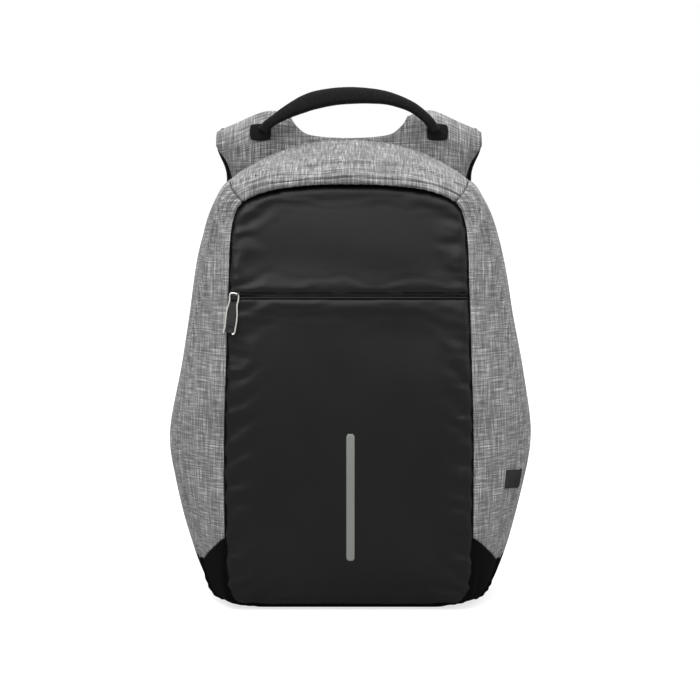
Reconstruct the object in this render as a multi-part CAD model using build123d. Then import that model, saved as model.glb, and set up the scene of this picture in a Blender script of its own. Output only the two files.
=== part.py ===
from build123d import *
import math
import os

# Anti-theft style backpack, standing on its base.
# Millimetres. +Z up, -Y is the front panel, +X is the right side as seen from the front.
# Origin: middle of the overall box, on the surface the bag stands on.
#
# The bag is a tub (front shell) closed by a back panel that swings open on a fabric hinge.
# The tub wall is one closed loop round the bag, described by three outlines: the front seam,
# the ridge where the wall is widest, and the rear edge that carries the main zip.

# ---------------------------------------------------------------- driving dimensions
REAR_Y = 38.0            # plane of the main zip
RIDGE_SHARE = 0.6        # where the ridge lies between the front seam (0) and the rear edge (1)
SHELL_END = 0.955        # the wall stops here and the zip tape goes on to the zip plane
FLOOR_GAP = 1.6          # height of the wall's lowest point, taken up by the patch under it
FABRIC = 1.2             # outer cloth
FOAM = (1.8, 4.2)        # depth of the foam under the cloth
LINING = (4.7, 5.4)      # depth of the lining under the foam
THIN = 1.4               # cloth of the inner pockets

# One row per station of the right half, from the bottom centre to the top centre:
# front seam (x, z), ridge (x, y, z), rear edge (x, z).
STATIONS = [
    ((0, 4), (0, -15, 2), (0, 4)),
    ((72, 4), (84, -15, 2), (90, 4)),
    ((98, 6), (116, -18, 3), (118, 8)),
    ((109, 12), (133, -20, 10), (137, 21)),
    ((113, 28), (144, -20, 30), (146, 46)),
    ((114, 70), (155, -20, 64), (148, 76)),
    ((114, 120), (166, -20, 112), (148, 122)),
    ((113.5, 172), (170, -20, 162), (148, 172)),
    ((112, 235), (160, -20, 232), (148, 235)),
    ((110.5, 297), (148, -20, 300), (147, 300)),
    ((109.5, 338), (137, -24, 350), (139, 352)),
    ((106, 361), (126, -32, 377), (127, 382)),
    ((97, 376), (112, -40, 394), (113, 401)),
    ((72, 386), (80, -46, 406), (80, 421)),
    ((36, 391), (40, -48, 412), (40, 434)),
    ((0, 392), (0, -48, 414), (0, 438)),
]
HALF = len(STATIONS) - 1          # loop parameter at the top centre
BASE_END = 5                      # loop parameter where the black base meets the grey side
CORNER = 12                       # loop parameter of the seam between side panel and top band
SEAM = 0.012                      # gap between two panels, in loop parameter
ZIP_FOOT = 3.5                    # loop parameter of the lower end of the main zip

# Front profile (z, y): the front panel is flat across and bulges from top to bottom.
FRONT_PROFILE = [(0, -92), (12, -100), (40, -107), (90, -111), (150, -112), (210, -110),
                 (270, -103), (330, -92), (370, -82), (396, -76)]

FRONT_ZIP_Z = 291.0
ZIP_SLOT = 5.0                    # height of the slot between the two front panels
PANEL_INSET = 2.2                 # front panel edge inside the seam outline
FRONT_CLOTH = 1.4
POCKET_DEPTH = 15.0               # front pocket, from the front cloth to its back wall
POCKET_WALL = 2.5
ORGANIZER_Z = (60.0, 200.0)
ORGANIZER_INSET = 24.0
ORGANIZER_DEPTH = 7.0
POWER_BANK_POCKET = ((-136, -110), (-60, 10), (60, 190))
LAPTOP_X, LAPTOP_Y, LAPTOP_Z = 134.0, 24.0, (40, 300)
TABLET_X, TABLET_Y, TABLET_Z = 105.0, (15, 23.8), (60, 250)

BASE_PATCH = ((-92, 92), (-80, 36))   # x and y of the wear patch the bag stands on
BASE_BOARD = ((-92, 92), (-80, 20), (8.0, 11.0))

STRIP_HALF = 3.8                  # reflective strip
STRIP_Z = (42.0, 162.0)
STRIP_THICK = 0.5

PANEL_HINGE = (REAR_Y, 3.0)       # y, z of the hinge of the back panel
HINGE_ROLL = 1.4
BACK_COIL = (38.2, 39.0)          # y ranges of the back panel's layers
BACK_TAPE = (39.2, 43.8)
RIM = (44.0, 52.0)
BACK_LINING = (44.6, 45.6)
BACK_BOARD = (46.0, 47.0)
BACK_FOAM = (47.2, 51.8)
COVER = (52.0, 53.2)
OPEN_ANGLE = 60.0                 # the back panel opens this far with the bag standing up
BACK_PAD = ((12, 100), (215, 385))  # x and z of the right back pad
PAD_TOP_Y = 62.0
TROLLEY = (112.0, (59.5, 61.0), (150, 200))   # half width, y range and z range of the trolley strap
STRAP_WING = [(147, 32), (147, 78), (137, 72), (134, 64.5), (110, 64.5), (110, 58), (128, 44)]
WING_TOP_Y = 57.0

LUMBAR_Z = 110.0                  # zip of the lumbar pocket
LUMBAR_HALF = 82.0                # half length of its tape
LUMBAR_SLIDER_X = -74.5

YOKE_THICK = 12.0
YOKE_FOOT_Z = 396.0
YOKE_CREST = (76.0, 446.0)        # y, z of the centre of the fold over the shoulder
YOKE_RADIUS = 16.6                # middle of the padding round that centre
YOKE_END_DROP = 11.0
YOKE_TILT = 14.4                  # the strap leaves the yoke this many degrees off the vertical
NECK = [(-62, 480), (-58, 462), (-50, 450), (-36, 442.5), (0, 440),
        (36, 442.5), (50, 450), (58, 462), (62, 480)]             # neck cut-out, x and z
YOKE_SIDE = [(112, 390), (120, 418), (131, 448), (131, 480)]     # outer edge, x and z

STRAP_GAP = 1.0                   # between fixed and swinging parts of a strap
STRAP_THICK = 12.0
STRAP_MESH = 3.0                  # mesh layer on the side towards the wearer
# Strap centre line from the yoke down: x, y, z and width.
STRAP_PATH = [(94, 95.2, 438, 74), (95, 102.5, 405, 70), (98, 106.2, 345, 64), (102, 102.5, 270, 60),
              (106.5, 92, 200, 54), (110, 82.5, 153, 48)]
ANCHOR = (122.0, 61.5, 66.0)      # where the lower webbing meets its sewn anchor
WEB_WIDTH, WEB_THICK = 25.0, 1.6
BUCKLE = (36.0, 26.0, 5.0)        # ladder lock, across, along and thick
BUCKLE_SLOT = (27.0, 3.2)

HANDLE_Y = (36.0, 50.2)
HANDLE_TAB_X = 86.0
# Upper and lower edge of the carry handle, x and z, and the sewn tabs behind its ends.
HANDLE_TOP = [(-92, 446), (-84, 459), (-60, 476), (-34, 487), (0, 489.5),
              (34, 487), (60, 476), (84, 459), (92, 446)]
HANDLE_UNDER = [(78, 446), (70, 454), (54, 463), (30, 470.5), (0, 473),
                (-30, 470.5), (-54, 463), (-70, 454), (-78, 446)]
TAB_HALF = 11.0
TAB_Y = 50.6
TAB_Z = (437.0, 456.0)

USB_PLACE = (2 * HALF - 6.9, 0.86)  # loop parameter and share of the wall where the port sits
USB_BEZEL = (26.0, 16.0)          # along and across the port
USB_BODY = (20.0, 10.0, 12.0)
USB_SOCKET = (12.4, 4.8)

PULL_SLIDER_X = -104.5            # rest place of the front zip slider
PULL_LEAN = 7.0                   # the pull hangs this many degrees off the vertical
PULL_PIN_HEIGHT = 5.0             # of the pin that the pull lifts about, above the panel
MAIN_SLIDER_Z = 80.0              # rest place of the main zip sliders


# ---------------------------------------------------------------- surfaces
def catmull(p0, p1, p2, p3, f):
    """Catmull-Rom curve between p1 and p2."""
    return tuple(
        0.5 * (2 * b + (c - a) * f + (2 * a - 5 * b + 4 * c - d) * f * f
               + (3 * b - a - 3 * c + d) * f * f * f)
        for a, b, c, d in zip(p0, p1, p2, p3))


def station(index, curve):
    """Point of outline 0 front, 1 ridge or 2 rear at a whole loop parameter; the left half mirrors."""
    index %= 2 * HALF
    side = 1 if index <= HALF else -1
    point = STATIONS[index if index <= HALF else 2 * HALF - index][curve]
    return (side * point[0],) + tuple(point[1:])


def outline(u, curve):
    """Point of an outline at loop parameter u: 0 bottom centre, HALF top centre, up the right side."""
    whole = math.floor(u)
    return catmull(*(station(whole + k, curve) for k in (-1, 0, 1, 2)), u - whole)


def front_y(z):
    """y of the outside of the front panel at height z: a smooth curve through the front profile."""
    rows = FRONT_PROFILE
    last = len(rows) - 1
    i = max(k for k in range(last) if k == 0 or rows[k][0] <= z)

    def slope(k):
        (z0, y0), (z1, y1) = rows[max(k - 1, 0)], rows[min(k + 1, last)]
        return (y1 - y0) / (z1 - z0)
    (z0, y0), (z1, y1) = rows[i], rows[i + 1]
    step = z1 - z0
    t = min(max((z - z0) / step, 0.0), 1.0)
    return (y0 * (1 + 2 * t) * (1 - t) ** 2 + slope(i) * step * t * (1 - t) ** 2
            + y1 * t * t * (3 - 2 * t) - slope(i + 1) * step * t * t * (1 - t))


def wall_point(u, v):
    """Outside of the tub wall at loop parameter u, from the front seam (v=0) to the rear edge (v=1)."""
    fx, fz = outline(u, 0)
    front, ridge = (fx, front_y(fz), fz), outline(u, 1)
    rx, rz = outline(u, 2)
    rear = (rx, REAR_Y, rz)
    s = RIDGE_SHARE
    weights = ((v - s) * (v - 1) / s, v * (1 - v) / (s * (1 - s)), v * (v - s) / (1 - s))
    x, y, z = (sum(w * p[k] for w, p in zip(weights, (front, ridge, rear))) for k in range(3))
    return Vector(x, y, max(z, FLOOR_GAP))


def wall_normal(u, v):
    """Outward unit normal of the tub wall."""
    h = 0.02
    along = wall_point(u + h, v) - wall_point(u - h, v)
    across = wall_point(u, min(v + h, 1)) - wall_point(u, max(v - h, 0))
    return across.cross(along).normalized()


def wall_layer(u_low, u_high, v_low, v_high, depth_out, depth_in, columns, rows=6):
    """A layer of the tub wall between two depths under its outside. u_low and u_high are functions of v."""
    def grid(depth):
        points = []
        for i in range(columns + 1):
            line = []
            for j in range(rows + 1):
                v = v_low + (v_high - v_low) * j / rows
                u = u_low(v) + (u_high(v) - u_low(v)) * i / columns
                line.append(wall_point(u, v) - wall_normal(u, v) * depth)
            points.append(line)
        return points
    return solid_between(grid(depth_out), grid(depth_in))


def solid_between(outer_grid, inner_grid):
    """The closed solid between two grids of points, with ruled sides."""
    outer = Face.make_surface_from_array_of_points(outer_grid, tol=0.02, min_deg=3, max_deg=3)
    inner = Face.make_surface_from_array_of_points(inner_grid, tol=0.02, min_deg=3, max_deg=3)
    sides = []
    for edge in outer.edges():
        nearest = min(inner.edges(), key=lambda e: (e @ 0.5 - edge @ 0.5).length)
        sides.append(Face.make_surface_from_curves(edge, nearest))
    solid = Solid(Shell([outer, inner, *sides]))
    return solid if solid.volume > 0 else Solid(solid.wrapped.Reversed())


def loop_face(curve_points, y):
    """A face in the plane y, bounded by a smooth closed curve through (x, z) points."""
    curve = Spline(*(Vector(x, y, z) for x, z in curve_points), periodic=True)
    return Face(Wire([curve]))


def rear_outline(inset, count=4 * HALF):
    """Points of the rear outline, moved inwards."""
    points = []
    for i in range(count):
        u = i * 2 * HALF / count
        (x, z), (x0, z0), (x1, z1) = outline(u, 2), outline(u - 0.2, 2), outline(u + 0.2, 2)
        length = math.hypot(x1 - x0, z1 - z0)
        points.append((x - inset * (z1 - z0) / length, z + inset * (x1 - x0) / length))
    return points


def rear_plate(inset, y_low, y_high):
    """A plate with the back panel's outline."""
    return extrude(loop_face(rear_outline(inset), y_low), y_high - y_low, dir=(0, 1, 0))


def rear_ring(inset_out, inset_in, y_low, y_high):
    """A ring with the back panel's outline."""
    cut = rear_plate(inset_in, y_low - 1, y_high + 1)
    return rear_plate(inset_out, y_low, y_high) - cut


def front_outline(inset, z_low=0.0, z_high=500.0):
    """Closed (x, z) polygon of the front seam outline, moved inwards and cut to a height range."""
    points = []
    for i in range(8 * HALF):
        u = i / 4
        (x, z), (x0, z0), (x1, z1) = outline(u, 0), outline(u - 0.1, 0), outline(u + 0.1, 0)
        length = math.hypot(x1 - x0, z1 - z0)
        points.append((x - inset * (z1 - z0) / length, z + inset * (x1 - x0) / length))
    face = Face(Wire([Spline(*(Vector(x, 0, z) for x, z in points), periodic=True)]))
    return extrude(face, 200, dir=(0, -1, 0)) & block((-200, 200), (-300, 100), (z_low, z_high))


def front_slab(depth_out, depth_in, inset, z_low=0.0, z_high=500.0):
    """A sheet that follows the front profile between two depths under it."""
    def line(depth):
        return [Vector(-200, front_y(z) + depth, z) for z in range(0, 397, 12)]
    low, high = Vector(0, 0, -20), Vector(0, 0, 60)
    outer, inner = line(depth_out), line(depth_in)
    outer_edge = Spline(outer[0] + low, *outer, outer[-1] + high)
    inner_edge = Spline(inner[0] + low, *inner, inner[-1] + high)
    ends = [Line(outer_edge @ 0, inner_edge @ 0), Line(outer_edge @ 1, inner_edge @ 1)]
    sheet = extrude(Face(Wire([outer_edge, ends[1], inner_edge, ends[0]])), 400, dir=(1, 0, 0))
    return sheet & front_outline(inset, z_low, z_high)


def at_front(z, x=0.0):
    """Local frame on the front panel: local x along +X, local z outwards."""
    slope = (front_y(z + 5) - front_y(z - 5)) / 10
    return Plane(origin=(x, front_y(z), z), x_dir=(1, 0, 0), z_dir=(0, -1, slope))


def block(x_range, y_range, z_range):
    """A box from its ranges."""
    size = [b - a for a, b in (x_range, y_range, z_range)]
    middle = [(a + b) / 2 for a, b in (x_range, y_range, z_range)]
    return Pos(*middle) * Box(*size)


def rounded(solid, radius, axis=Axis.Z):
    """A box with its edges along one axis rounded."""
    return fillet(solid.edges().filter_by(axis), radius)


def mirrored(solid):
    """The same solid on the other side of the bag."""
    return solid.mirror(Plane.YZ)


def in_plane(plane, x_range, y_range, z_range):
    """A box from its ranges in a local frame."""
    return plane * block(x_range, y_range, z_range)


def disc(plane, radius, z_low, z_high):
    """A cylinder along the local z of a frame."""
    base = Align.CENTER, Align.CENTER, Align.MIN
    return plane * Pos(0, 0, z_low) * Cylinder(radius, z_high - z_low, align=base)


def prism_xz(points, y_low, y_high, smooth=False):
    """A solid from an outline in x and z, straight or smooth, between two y values."""
    corners = [Vector(x, y_low, z) for x, z in points]
    if smooth:
        edge = Wire([Spline(*corners), Line(corners[-1], corners[0])])
    else:
        edge = Wire.make_polygon(corners)
    return extrude(Face(edge), y_high - y_low, dir=(0, 1, 0))


# ---------------------------------------------------------------- front shell
def always(value):
    """A function of v that always gives one value."""
    return lambda v: value


def side_low(v):
    """Lower edge of the right side panel: high at the front seam, lower behind it."""
    return BASE_END - 0.75 * min(v / 0.3, 1.0)


def base_high(v):
    """Upper edge of the black base on the right side."""
    return side_low(v) - SEAM


def usb_plane():
    """Local frame of the port on the left side panel: local z outwards, local x up."""
    u, v = USB_PLACE
    up = wall_point(u - 0.2, v) - wall_point(u + 0.2, v)
    return Plane(origin=wall_point(u, v), x_dir=up, z_dir=wall_normal(u, v))


def usb_cut():
    """Space that the port takes out of the wall."""
    length, width, depth = USB_BODY
    return usb_plane() * Box(length + 1, width + 1, 3 * depth)


def front_panels():
    """Front panels, the zip between them, the pocket wall behind and the reflective strip."""
    low, high = FRONT_ZIP_Z - ZIP_SLOT / 2, FRONT_ZIP_Z + ZIP_SLOT / 2
    split = front_slab(-2, 9, 0, FRONT_ZIP_Z - 0.2, FRONT_ZIP_Z + 0.2)
    strip_outline = Pos(0, 0, sum(STRIP_Z) / 2) * Rot(90, 0, 0) * SlotOverall(
        STRIP_Z[1] - STRIP_Z[0], 2 * STRIP_HALF, rotation=90)
    strip = front_slab(-STRIP_THICK - 0.05, -0.05, 20, 20, 200)
    return {
        "front_panel_upper": front_slab(0, FRONT_CLOTH, PANEL_INSET, high),
        "front_panel_lower": front_slab(0, FRONT_CLOTH, PANEL_INSET, 0, low),
        "front_zip_tape": front_slab(1.6, 2.3, 4.5, FRONT_ZIP_Z - 13, FRONT_ZIP_Z + 13) - split,
        "front_zip_coil": front_slab(0.4, 1.5, 6.0, FRONT_ZIP_Z - 2.2, FRONT_ZIP_Z + 2.2) - split,
        "front_pocket_wall": front_slab(POCKET_DEPTH, POCKET_DEPTH + POCKET_WALL, 7.5),
        "reflective_strip": strip & extrude(strip_outline, 160, dir=(0, -1, 0)),
    }


def wall_panels():
    """Cloth, foam and lining of the tub wall, and the front half of the main zip."""
    cut = usb_cut()
    right = wall_layer(side_low, always(CORNER - SEAM), 0.004, SHELL_END, 0, FABRIC, 16, 8)
    top_low, top_high = always(CORNER + SEAM), always(2 * HALF - CORNER - SEAM)
    foot, other_foot = always(BASE_END), always(2 * HALF - BASE_END)
    return {
        "side_panel_right": right,
        "side_panel_left": mirrored(right) - cut,
        "top_band": wall_layer(top_low, top_high, 0.004, SHELL_END, 0, FABRIC, 16, 8),
        "base_cup": wall_layer(lambda v: -base_high(v), base_high, 0.004, SHELL_END, 0, FABRIC, 30, 8),
        "shell_foam": wall_layer(foot, other_foot, 0.02, SHELL_END, *FOAM, 80, 8) - cut,
        "shell_lining": wall_layer(foot, other_foot, 0.03, SHELL_END, *LINING, 80, 8) - cut,
        "shell_zip_tape": wall_layer(always(ZIP_FOOT), always(2 * HALF - ZIP_FOOT), 0.959, 0.991,
                                     1.0, 1.8, 60, 3),
        "shell_zip_coil": wall_layer(always(ZIP_FOOT), always(2 * HALF - ZIP_FOOT), 0.9925, 0.9985,
                                     0.4, 2.0, 60, 3),
    }


def tray(x_range, y_range, z_range, open_side=0.0):
    """A box pocket with walls of inner cloth, open at the top. open_side takes the +y wall away."""
    (x0, x1), (y0, y1), (z0, z1) = x_range, y_range, z_range
    inner = block((x0 + THIN, x1 - THIN), (y0 + THIN, y1 - THIN + open_side), (z0 + THIN, z1 + 1))
    return block(x_range, y_range, z_range) - inner


def shell_inside():
    """Base patch and board, inner pockets, hinge strip and the blank side patch."""
    z_low, z_high = ORGANIZER_Z
    depth = POCKET_DEPTH + POCKET_WALL
    inset, deep = ORGANIZER_INSET, depth + ORGANIZER_DEPTH
    organizer = front_slab(depth + 0.2, deep, inset, z_low, z_high)
    organizer -= front_slab(depth, deep - THIN, inset + THIN, z_low + THIN, z_high + 1)
    axis_y, axis_z = PANEL_HINGE
    roll = Pos(0, axis_y, axis_z) * Rot(0, 90, 0) * Cylinder(HINGE_ROLL, 176)
    flap = block((-88, 88), (33.0, axis_y), (2.3, 3.7))
    patch = rounded(block(*BASE_PATCH, (0, FLOOR_GAP - 0.2)), 12)
    label = wall_layer(always(5.95), always(6.3), 0.3, 0.42, -0.8, -0.3, 4, 4)
    return {
        "base_patch": patch,
        "base_board": rounded(block(*BASE_BOARD), 10),
        "organizer_pocket": organizer,
        "power_bank_pocket": tray(*POWER_BANK_POCKET),
        "hinge_strip": roll + flap,
        "blank_patch": label,
    }


def usb_port():
    """Port on the left side panel, its contacts and its hinged cap."""
    plane = usb_plane()
    length, width, depth = USB_BODY
    bezel = in_plane(plane, *((-side / 2, side / 2) for side in USB_BEZEL), (0.9, 2.3))
    body = in_plane(plane, (-length / 2, length / 2), (-width / 2, width / 2), (-depth, 0.9))
    mouth = in_plane(plane, *((-side / 2, side / 2) for side in USB_SOCKET), (-depth + 2, 3))
    tongue = in_plane(plane, (-5.6, 5.6), (-0.9, 0.9), (-depth + 2, -2))
    edge = USB_BEZEL[0] / 2
    cap = in_plane(plane, (-edge + 1, edge + 1), (-7.2, 7.2), (2.7, 3.9))
    return {"usb_port_housing": bezel + body - mouth, "usb_contacts": tongue}, {"usb_cap": cap}


# ---------------------------------------------------------------- zip sliders and pulls
def front_pull():
    """Slider, swinging link and lifting pull of the front pocket, in the frame of its rest place."""
    plane = at_front(FRONT_ZIP_Z, PULL_SLIDER_X)
    keel = in_plane(plane, (-4.5, 4.5), (-1.8, 1.8), (-0.2, 0.6))
    slider = keel + in_plane(plane, (-5, 5), (-3.6, 3.6), (0.5, 1.8))
    slider += disc(plane, 1.2, 1.8, 3.4) + disc(plane, 2.2, 3.4, 4.0)
    lean = Plane(plane.location * Rot(0, 0, -PULL_LEAN))
    link = disc(lean, 3.4, 2.1, 3.2) - disc(lean, 1.25, 2, 3.3)
    for x in (-2.9, 2.9):
        link += in_plane(lean, (x - 0.45, x + 0.45), (-1.4, 1.4), (2.6, PULL_PIN_HEIGHT + 1.0))
    height = PULL_PIN_HEIGHT
    pin_place = Plane(lean.location * Plane(origin=(0, 0, height), x_dir=(0, 1, 0), z_dir=(1, 0, 0)).location)
    link += disc(pin_place, 0.6, -5.0, 5.0)
    outline = [(-5.0, 2.4), (-3.6, 2.4), (-3.6, -4.5), (3.6, -4.5), (3.6, 2.4), (5.0, 2.4),
               (5.8, -32), (6.2, -36), (-6.2, -36), (-5.8, -32)]
    low = height - 0.9
    frame = extrude(lean * Pos(0, 0, low) * Polygon(*outline, align=None), 1.8, dir=lean.z_dir)
    window = [(-3.2, -6.5), (3.2, -6.5), (4.4, -30.5), (-4.4, -30.5)]
    frame -= extrude(lean * Pos(0, 0, 1) * Polygon(*window, align=None), 7, dir=lean.z_dir)
    frame -= disc(pin_place, 0.65, -7, 7)
    infill = [(-3.0, -6.7), (3.0, -6.7), (3.9, -26), (-3.9, -26)]
    insert = extrude(lean * Pos(0, 0, low + 0.3) * Polygon(*infill, align=None), 1.2, dir=lean.z_dir)
    return {"front_zip_slider": slider}, {"front_zip_link": link}, {"front_pull_frame": frame,
                                                                  "front_pull_insert": insert}


def main_zip(side):
    """Slider and pull at the lower end of the main zip; side is 1 for the right, -1 for the left."""
    z = MAIN_SLIDER_Z
    surface = max(wall_point(6 + i / 5, 0.985).X for i in range(0, 18))
    x = surface + 0.5
    slider = block((x, x + 2.6), (36.6, 40.4), (z - 5, z + 5))
    slider += block((x + 2.6, x + 4.2), (37.4, 39.6), (z - 3, z + 3))
    slider -= block((x + 2.4, x + 3.4), (37, 40), (z - 1.2, z + 1.2))
    pull = block((x + 4.5, x + 6.1), (34.5, 42.5), (z - 30, z - 1.5))
    pull = rounded(pull, 3, Axis.X)
    name = "right" if side > 0 else "left"
    turn = (lambda s: s) if side > 0 else mirrored
    return {f"main_zip_slider_{name}": turn(slider)}, {f"main_zip_pull_{name}": turn(pull)}


# ---------------------------------------------------------------- back panel
def opening_wedge():
    """Space behind and below which the panel may not reach, so that it clears the floor when it opens."""
    axis_y, axis_z = PANEL_HINGE
    slope = math.tan(math.radians(OPEN_ANGLE))
    low = axis_z - 5.0
    corners = [(-20, low - slope * 20), (120, low + slope * 120), (120, -200), (-20, -200)]
    points = [Vector(-250, axis_y + y, z) for y, z in corners]
    return extrude(Face(Wire.make_polygon(points)), 500, dir=(1, 0, 0))


def back_layers():
    """Layers of the back panel, cut clear of the floor and of the hinge."""
    foot = block((-250, 250), (0, 100), (-50, 34))
    wedge = opening_wedge()
    clear = Pos(0, *PANEL_HINGE) * Rot(0, 90, 0) * Cylinder(HINGE_ROLL + 0.4, 400)
    layers = {
        "back_zip_coil": rear_ring(0.4, 2.0, *BACK_COIL) - foot,
        "back_zip_tape": rear_ring(1.0, 1.8, *BACK_TAPE) - foot,
        "back_rim": rear_ring(0, 2.5, *RIM),
        "back_lining": rear_plate(4.0, *BACK_LINING),
        "back_board": rear_plate(6.0, *BACK_BOARD),
        "back_foam": rear_plate(5.0, *BACK_FOAM),
        "back_cover": rear_plate(0.5, *COVER),
    }
    gusset = block((-100, 100), (38.4, BACK_LINING[0] - 0.3), (5.4, 6.6))
    gusset += block((-100, 100), (BACK_LINING[0] - 1.5, BACK_LINING[0] - 0.3), (5.4, 24))
    layers["back_hinge_flap"] = gusset
    return {name: solid - wedge - clear for name, solid in layers.items()}


def pads():
    """Back pads, sewn anchors of the lower webbing and the trolley strap."""
    parts = {}
    pad_x, pad_z = BACK_PAD
    right = rounded(block(pad_x, (COVER[1] + 0.2, PAD_TOP_Y), pad_z), 16, Axis.Y)
    right = fillet(right.edges().filter_by(lambda e: min(v.Y for v in e.vertices()) > PAD_TOP_Y - 0.1), 4)
    parts["back_pad_right"] = right
    parts["back_pad_left"] = mirrored(right)
    wing = prism_xz(STRAP_WING, COVER[1] + 0.2, WING_TOP_Y)
    parts["strap_anchors"] = wing + mirrored(wing)
    half, band_y, band_z = TROLLEY
    band = block((-half, half), band_y, band_z)
    ends = block((half - 12, half), (COVER[1] + 0.2, band_y[1]), band_z)
    parts["trolley_strap"] = band + ends + mirrored(ends)
    return parts


def yoke():
    """Padded yoke: up from the panel, over the crest and down towards the two straps."""
    crest_y, crest_z = YOKE_CREST
    half = YOKE_THICK / 2
    sweep = math.radians(180 - YOKE_TILT)
    middle = (crest_y - YOKE_RADIUS, crest_z)

    def crest(radius, angle):
        return Vector(-150, crest_y - radius * math.cos(angle), crest_z + radius * math.sin(angle))
    edges = []
    ends = []
    for radius in (YOKE_RADIUS + half, YOKE_RADIUS - half):
        foot = Vector(-150, crest_y - radius, YOKE_FOOT_Z)
        end = crest(radius, sweep)
        tip = end + Vector(0, math.sin(sweep), math.cos(sweep)) * (YOKE_END_DROP + 6)
        edges += [Line(foot, crest(radius, 0)),
                  ThreePointArc(crest(radius, 0), crest(radius, sweep / 2), end), Line(end, tip)]
        ends.append((foot, tip))
    caps = [Line(ends[0][0], ends[1][0]), Line(ends[0][1], ends[1][1])]
    body = extrude(Face(Wire(edges + caps)), 300, dir=(1, 0, 0))
    right = YOKE_SIDE
    outline = [(-x, z) for x, z in reversed(right)] + right
    body &= prism_xz(outline, 40, 140)
    body -= prism_xz(NECK, 40, 140, smooth=True)
    for side in (1, -1):
        body -= in_plane(strap_axis(side), (-60, 60), (-22, 30), (-60, STRAP_GAP / 2))
    return body


def tabs():
    """Sewn tabs on the yoke behind the ends of the carry handle."""
    yoke_front = YOKE_CREST[0] - YOKE_RADIUS - YOKE_THICK / 2
    tab = block((HANDLE_TAB_X - TAB_HALF, HANDLE_TAB_X + TAB_HALF), (TAB_Y, yoke_front - 0.1), TAB_Z)
    tab = rounded(tab, 3, Axis.Y)
    return tab + mirrored(tab)


def sleeves():
    """Laptop sleeve on the back panel and the tablet pocket on the sleeve, both open to the rear wall."""
    laptop_y = (LAPTOP_Y, BACK_LINING[0] - 0.2)
    sleeve = tray((-LAPTOP_X, LAPTOP_X), laptop_y, LAPTOP_Z, open_side=THIN + 1)
    tablet = tray((-TABLET_X, TABLET_X), TABLET_Y, TABLET_Z, open_side=THIN + 1)
    return {"laptop_sleeve": sleeve, "tablet_pocket": tablet}


def lumbar_zip():
    """Zip of the pocket across the small of the back, with its slider and pull."""
    x, y, z, half = LUMBAR_SLIDER_X, COVER[1] + 0.2, LUMBAR_Z, LUMBAR_HALF
    split = block((-half - 8, half + 8), (y - 1, y + 5), (z - 0.2, z + 0.2))
    tape = block((-half, half), (y, y + 0.8), (z - 7, z + 7)) - split
    coil = block((3 - half, half - 3), (y + 0.9, y + 2.0), (z - 2.4, z + 2.4)) - split
    post = Plane(origin=(x, y, z), x_dir=(1, 0, 0), z_dir=(0, 1, 0))
    slider = block((x - 4.5, x + 4.5), (y + 2.3, y + 4.2), (z - 3.5, z + 3.5)) + disc(post, 1.2, 4.2, 6.6)
    pull = rounded(block((x - 3.5, x + 3.5), (y + 4.5, y + 6.1), (z - 24, z + 3.5)), 3, Axis.Y)
    pull -= disc(post, 1.25, 4, 7)
    zip_rows = {"lumbar_zip_tape": tape, "lumbar_zip_coil": coil}
    return zip_rows, {"lumbar_zip_slider": slider}, {"lumbar_zip_pull": pull}


# ---------------------------------------------------------------- straps and handle
def strap_axis(side=1):
    """Frame at the top of a strap: local z along its swing axis, upwards."""
    x, y, z = STRAP_PATH[0][:3]
    top = Vector(side * x, y, z)
    rise = (top - Vector(side * ANCHOR[0], ANCHOR[1], ANCHOR[2])).normalized()
    return Plane(origin=top, x_dir=Vector(1, 0, 0) - rise * rise.X, z_dir=rise)


def strap_layer(depth_low, depth_high, margin):
    """A layer of the shoulder strap; depth runs from the wearer's side (negative) outwards."""
    sections = []
    points = [Vector(*row[:3]) for row in STRAP_PATH]
    for i, row in enumerate(STRAP_PATH):
        before, after = points[max(i - 1, 0)], points[min(i + 1, len(points) - 1)]
        along = (after - before).normalized()
        across = Vector(1, 0, 0) - along * along.X
        plane = Plane(origin=points[i], x_dir=across, z_dir=along)
        if plane.y_dir.Y < 0:
            plane = Plane(origin=points[i], x_dir=across, z_dir=along * -1)
        sketch = plane * Pos(0, (depth_low + depth_high) / 2) * RectangleRounded(
            row[3] - 2 * margin, depth_high - depth_low, 1.2)
        sections.append(sketch)
    first = Vector(*STRAP_PATH[0][:3])
    start = (first - points[1]).normalized() * 8
    sections.insert(0, Pos(*start) * sections[0])
    return loft(sections)


def buckle_plane():
    """Frame of the ladder lock under the strap: local z along the webbing, upwards."""
    low, high = Vector(*ANCHOR), Vector(*STRAP_PATH[-1][:3])
    rise = (high - low).normalized()
    across = Vector(1, 0, 0) - rise * rise.X
    place = high - rise * (BUCKLE[1] / 2 + 1.5)
    return Plane(origin=place, x_dir=across, z_dir=rise), (high - low).length


def shoulder_strap():
    """Pad, mesh, buckle and webbing of the right strap."""
    half = STRAP_THICK / 2
    above = in_plane(strap_axis(), (-60, 60), (-30, 30), (-STRAP_GAP / 2, 60))
    plane, length = buckle_plane()
    across, tall, thick = BUCKLE
    buckle = in_plane(plane, (-across / 2, across / 2), (-thick / 2, thick / 2), (-tall / 2, tall / 2))
    slot_x, slot_z = BUCKLE_SLOT
    for z in (-6.5, 0.0, 6.5):
        slot = (z - slot_z / 2, z + slot_z / 2)
        buckle -= in_plane(plane, (-slot_x / 2, slot_x / 2), (-thick, thick), slot)
    reach = length - BUCKLE[1] / 2 - 1.5
    half_web = WEB_WIDTH / 2
    web_y = -thick / 2 - 0.3
    run = in_plane(plane, (-half_web, half_web), (web_y - WEB_THICK, web_y), (-reach + 1, -4.0))
    return {
        "strap_pad": strap_layer(-half + STRAP_MESH, half, 0) - above,
        "strap_mesh": strap_layer(-half, -half + STRAP_MESH - 0.1, 1.5) - above,
        "strap_buckle": buckle,
        "strap_webbing": run,
    }


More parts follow.
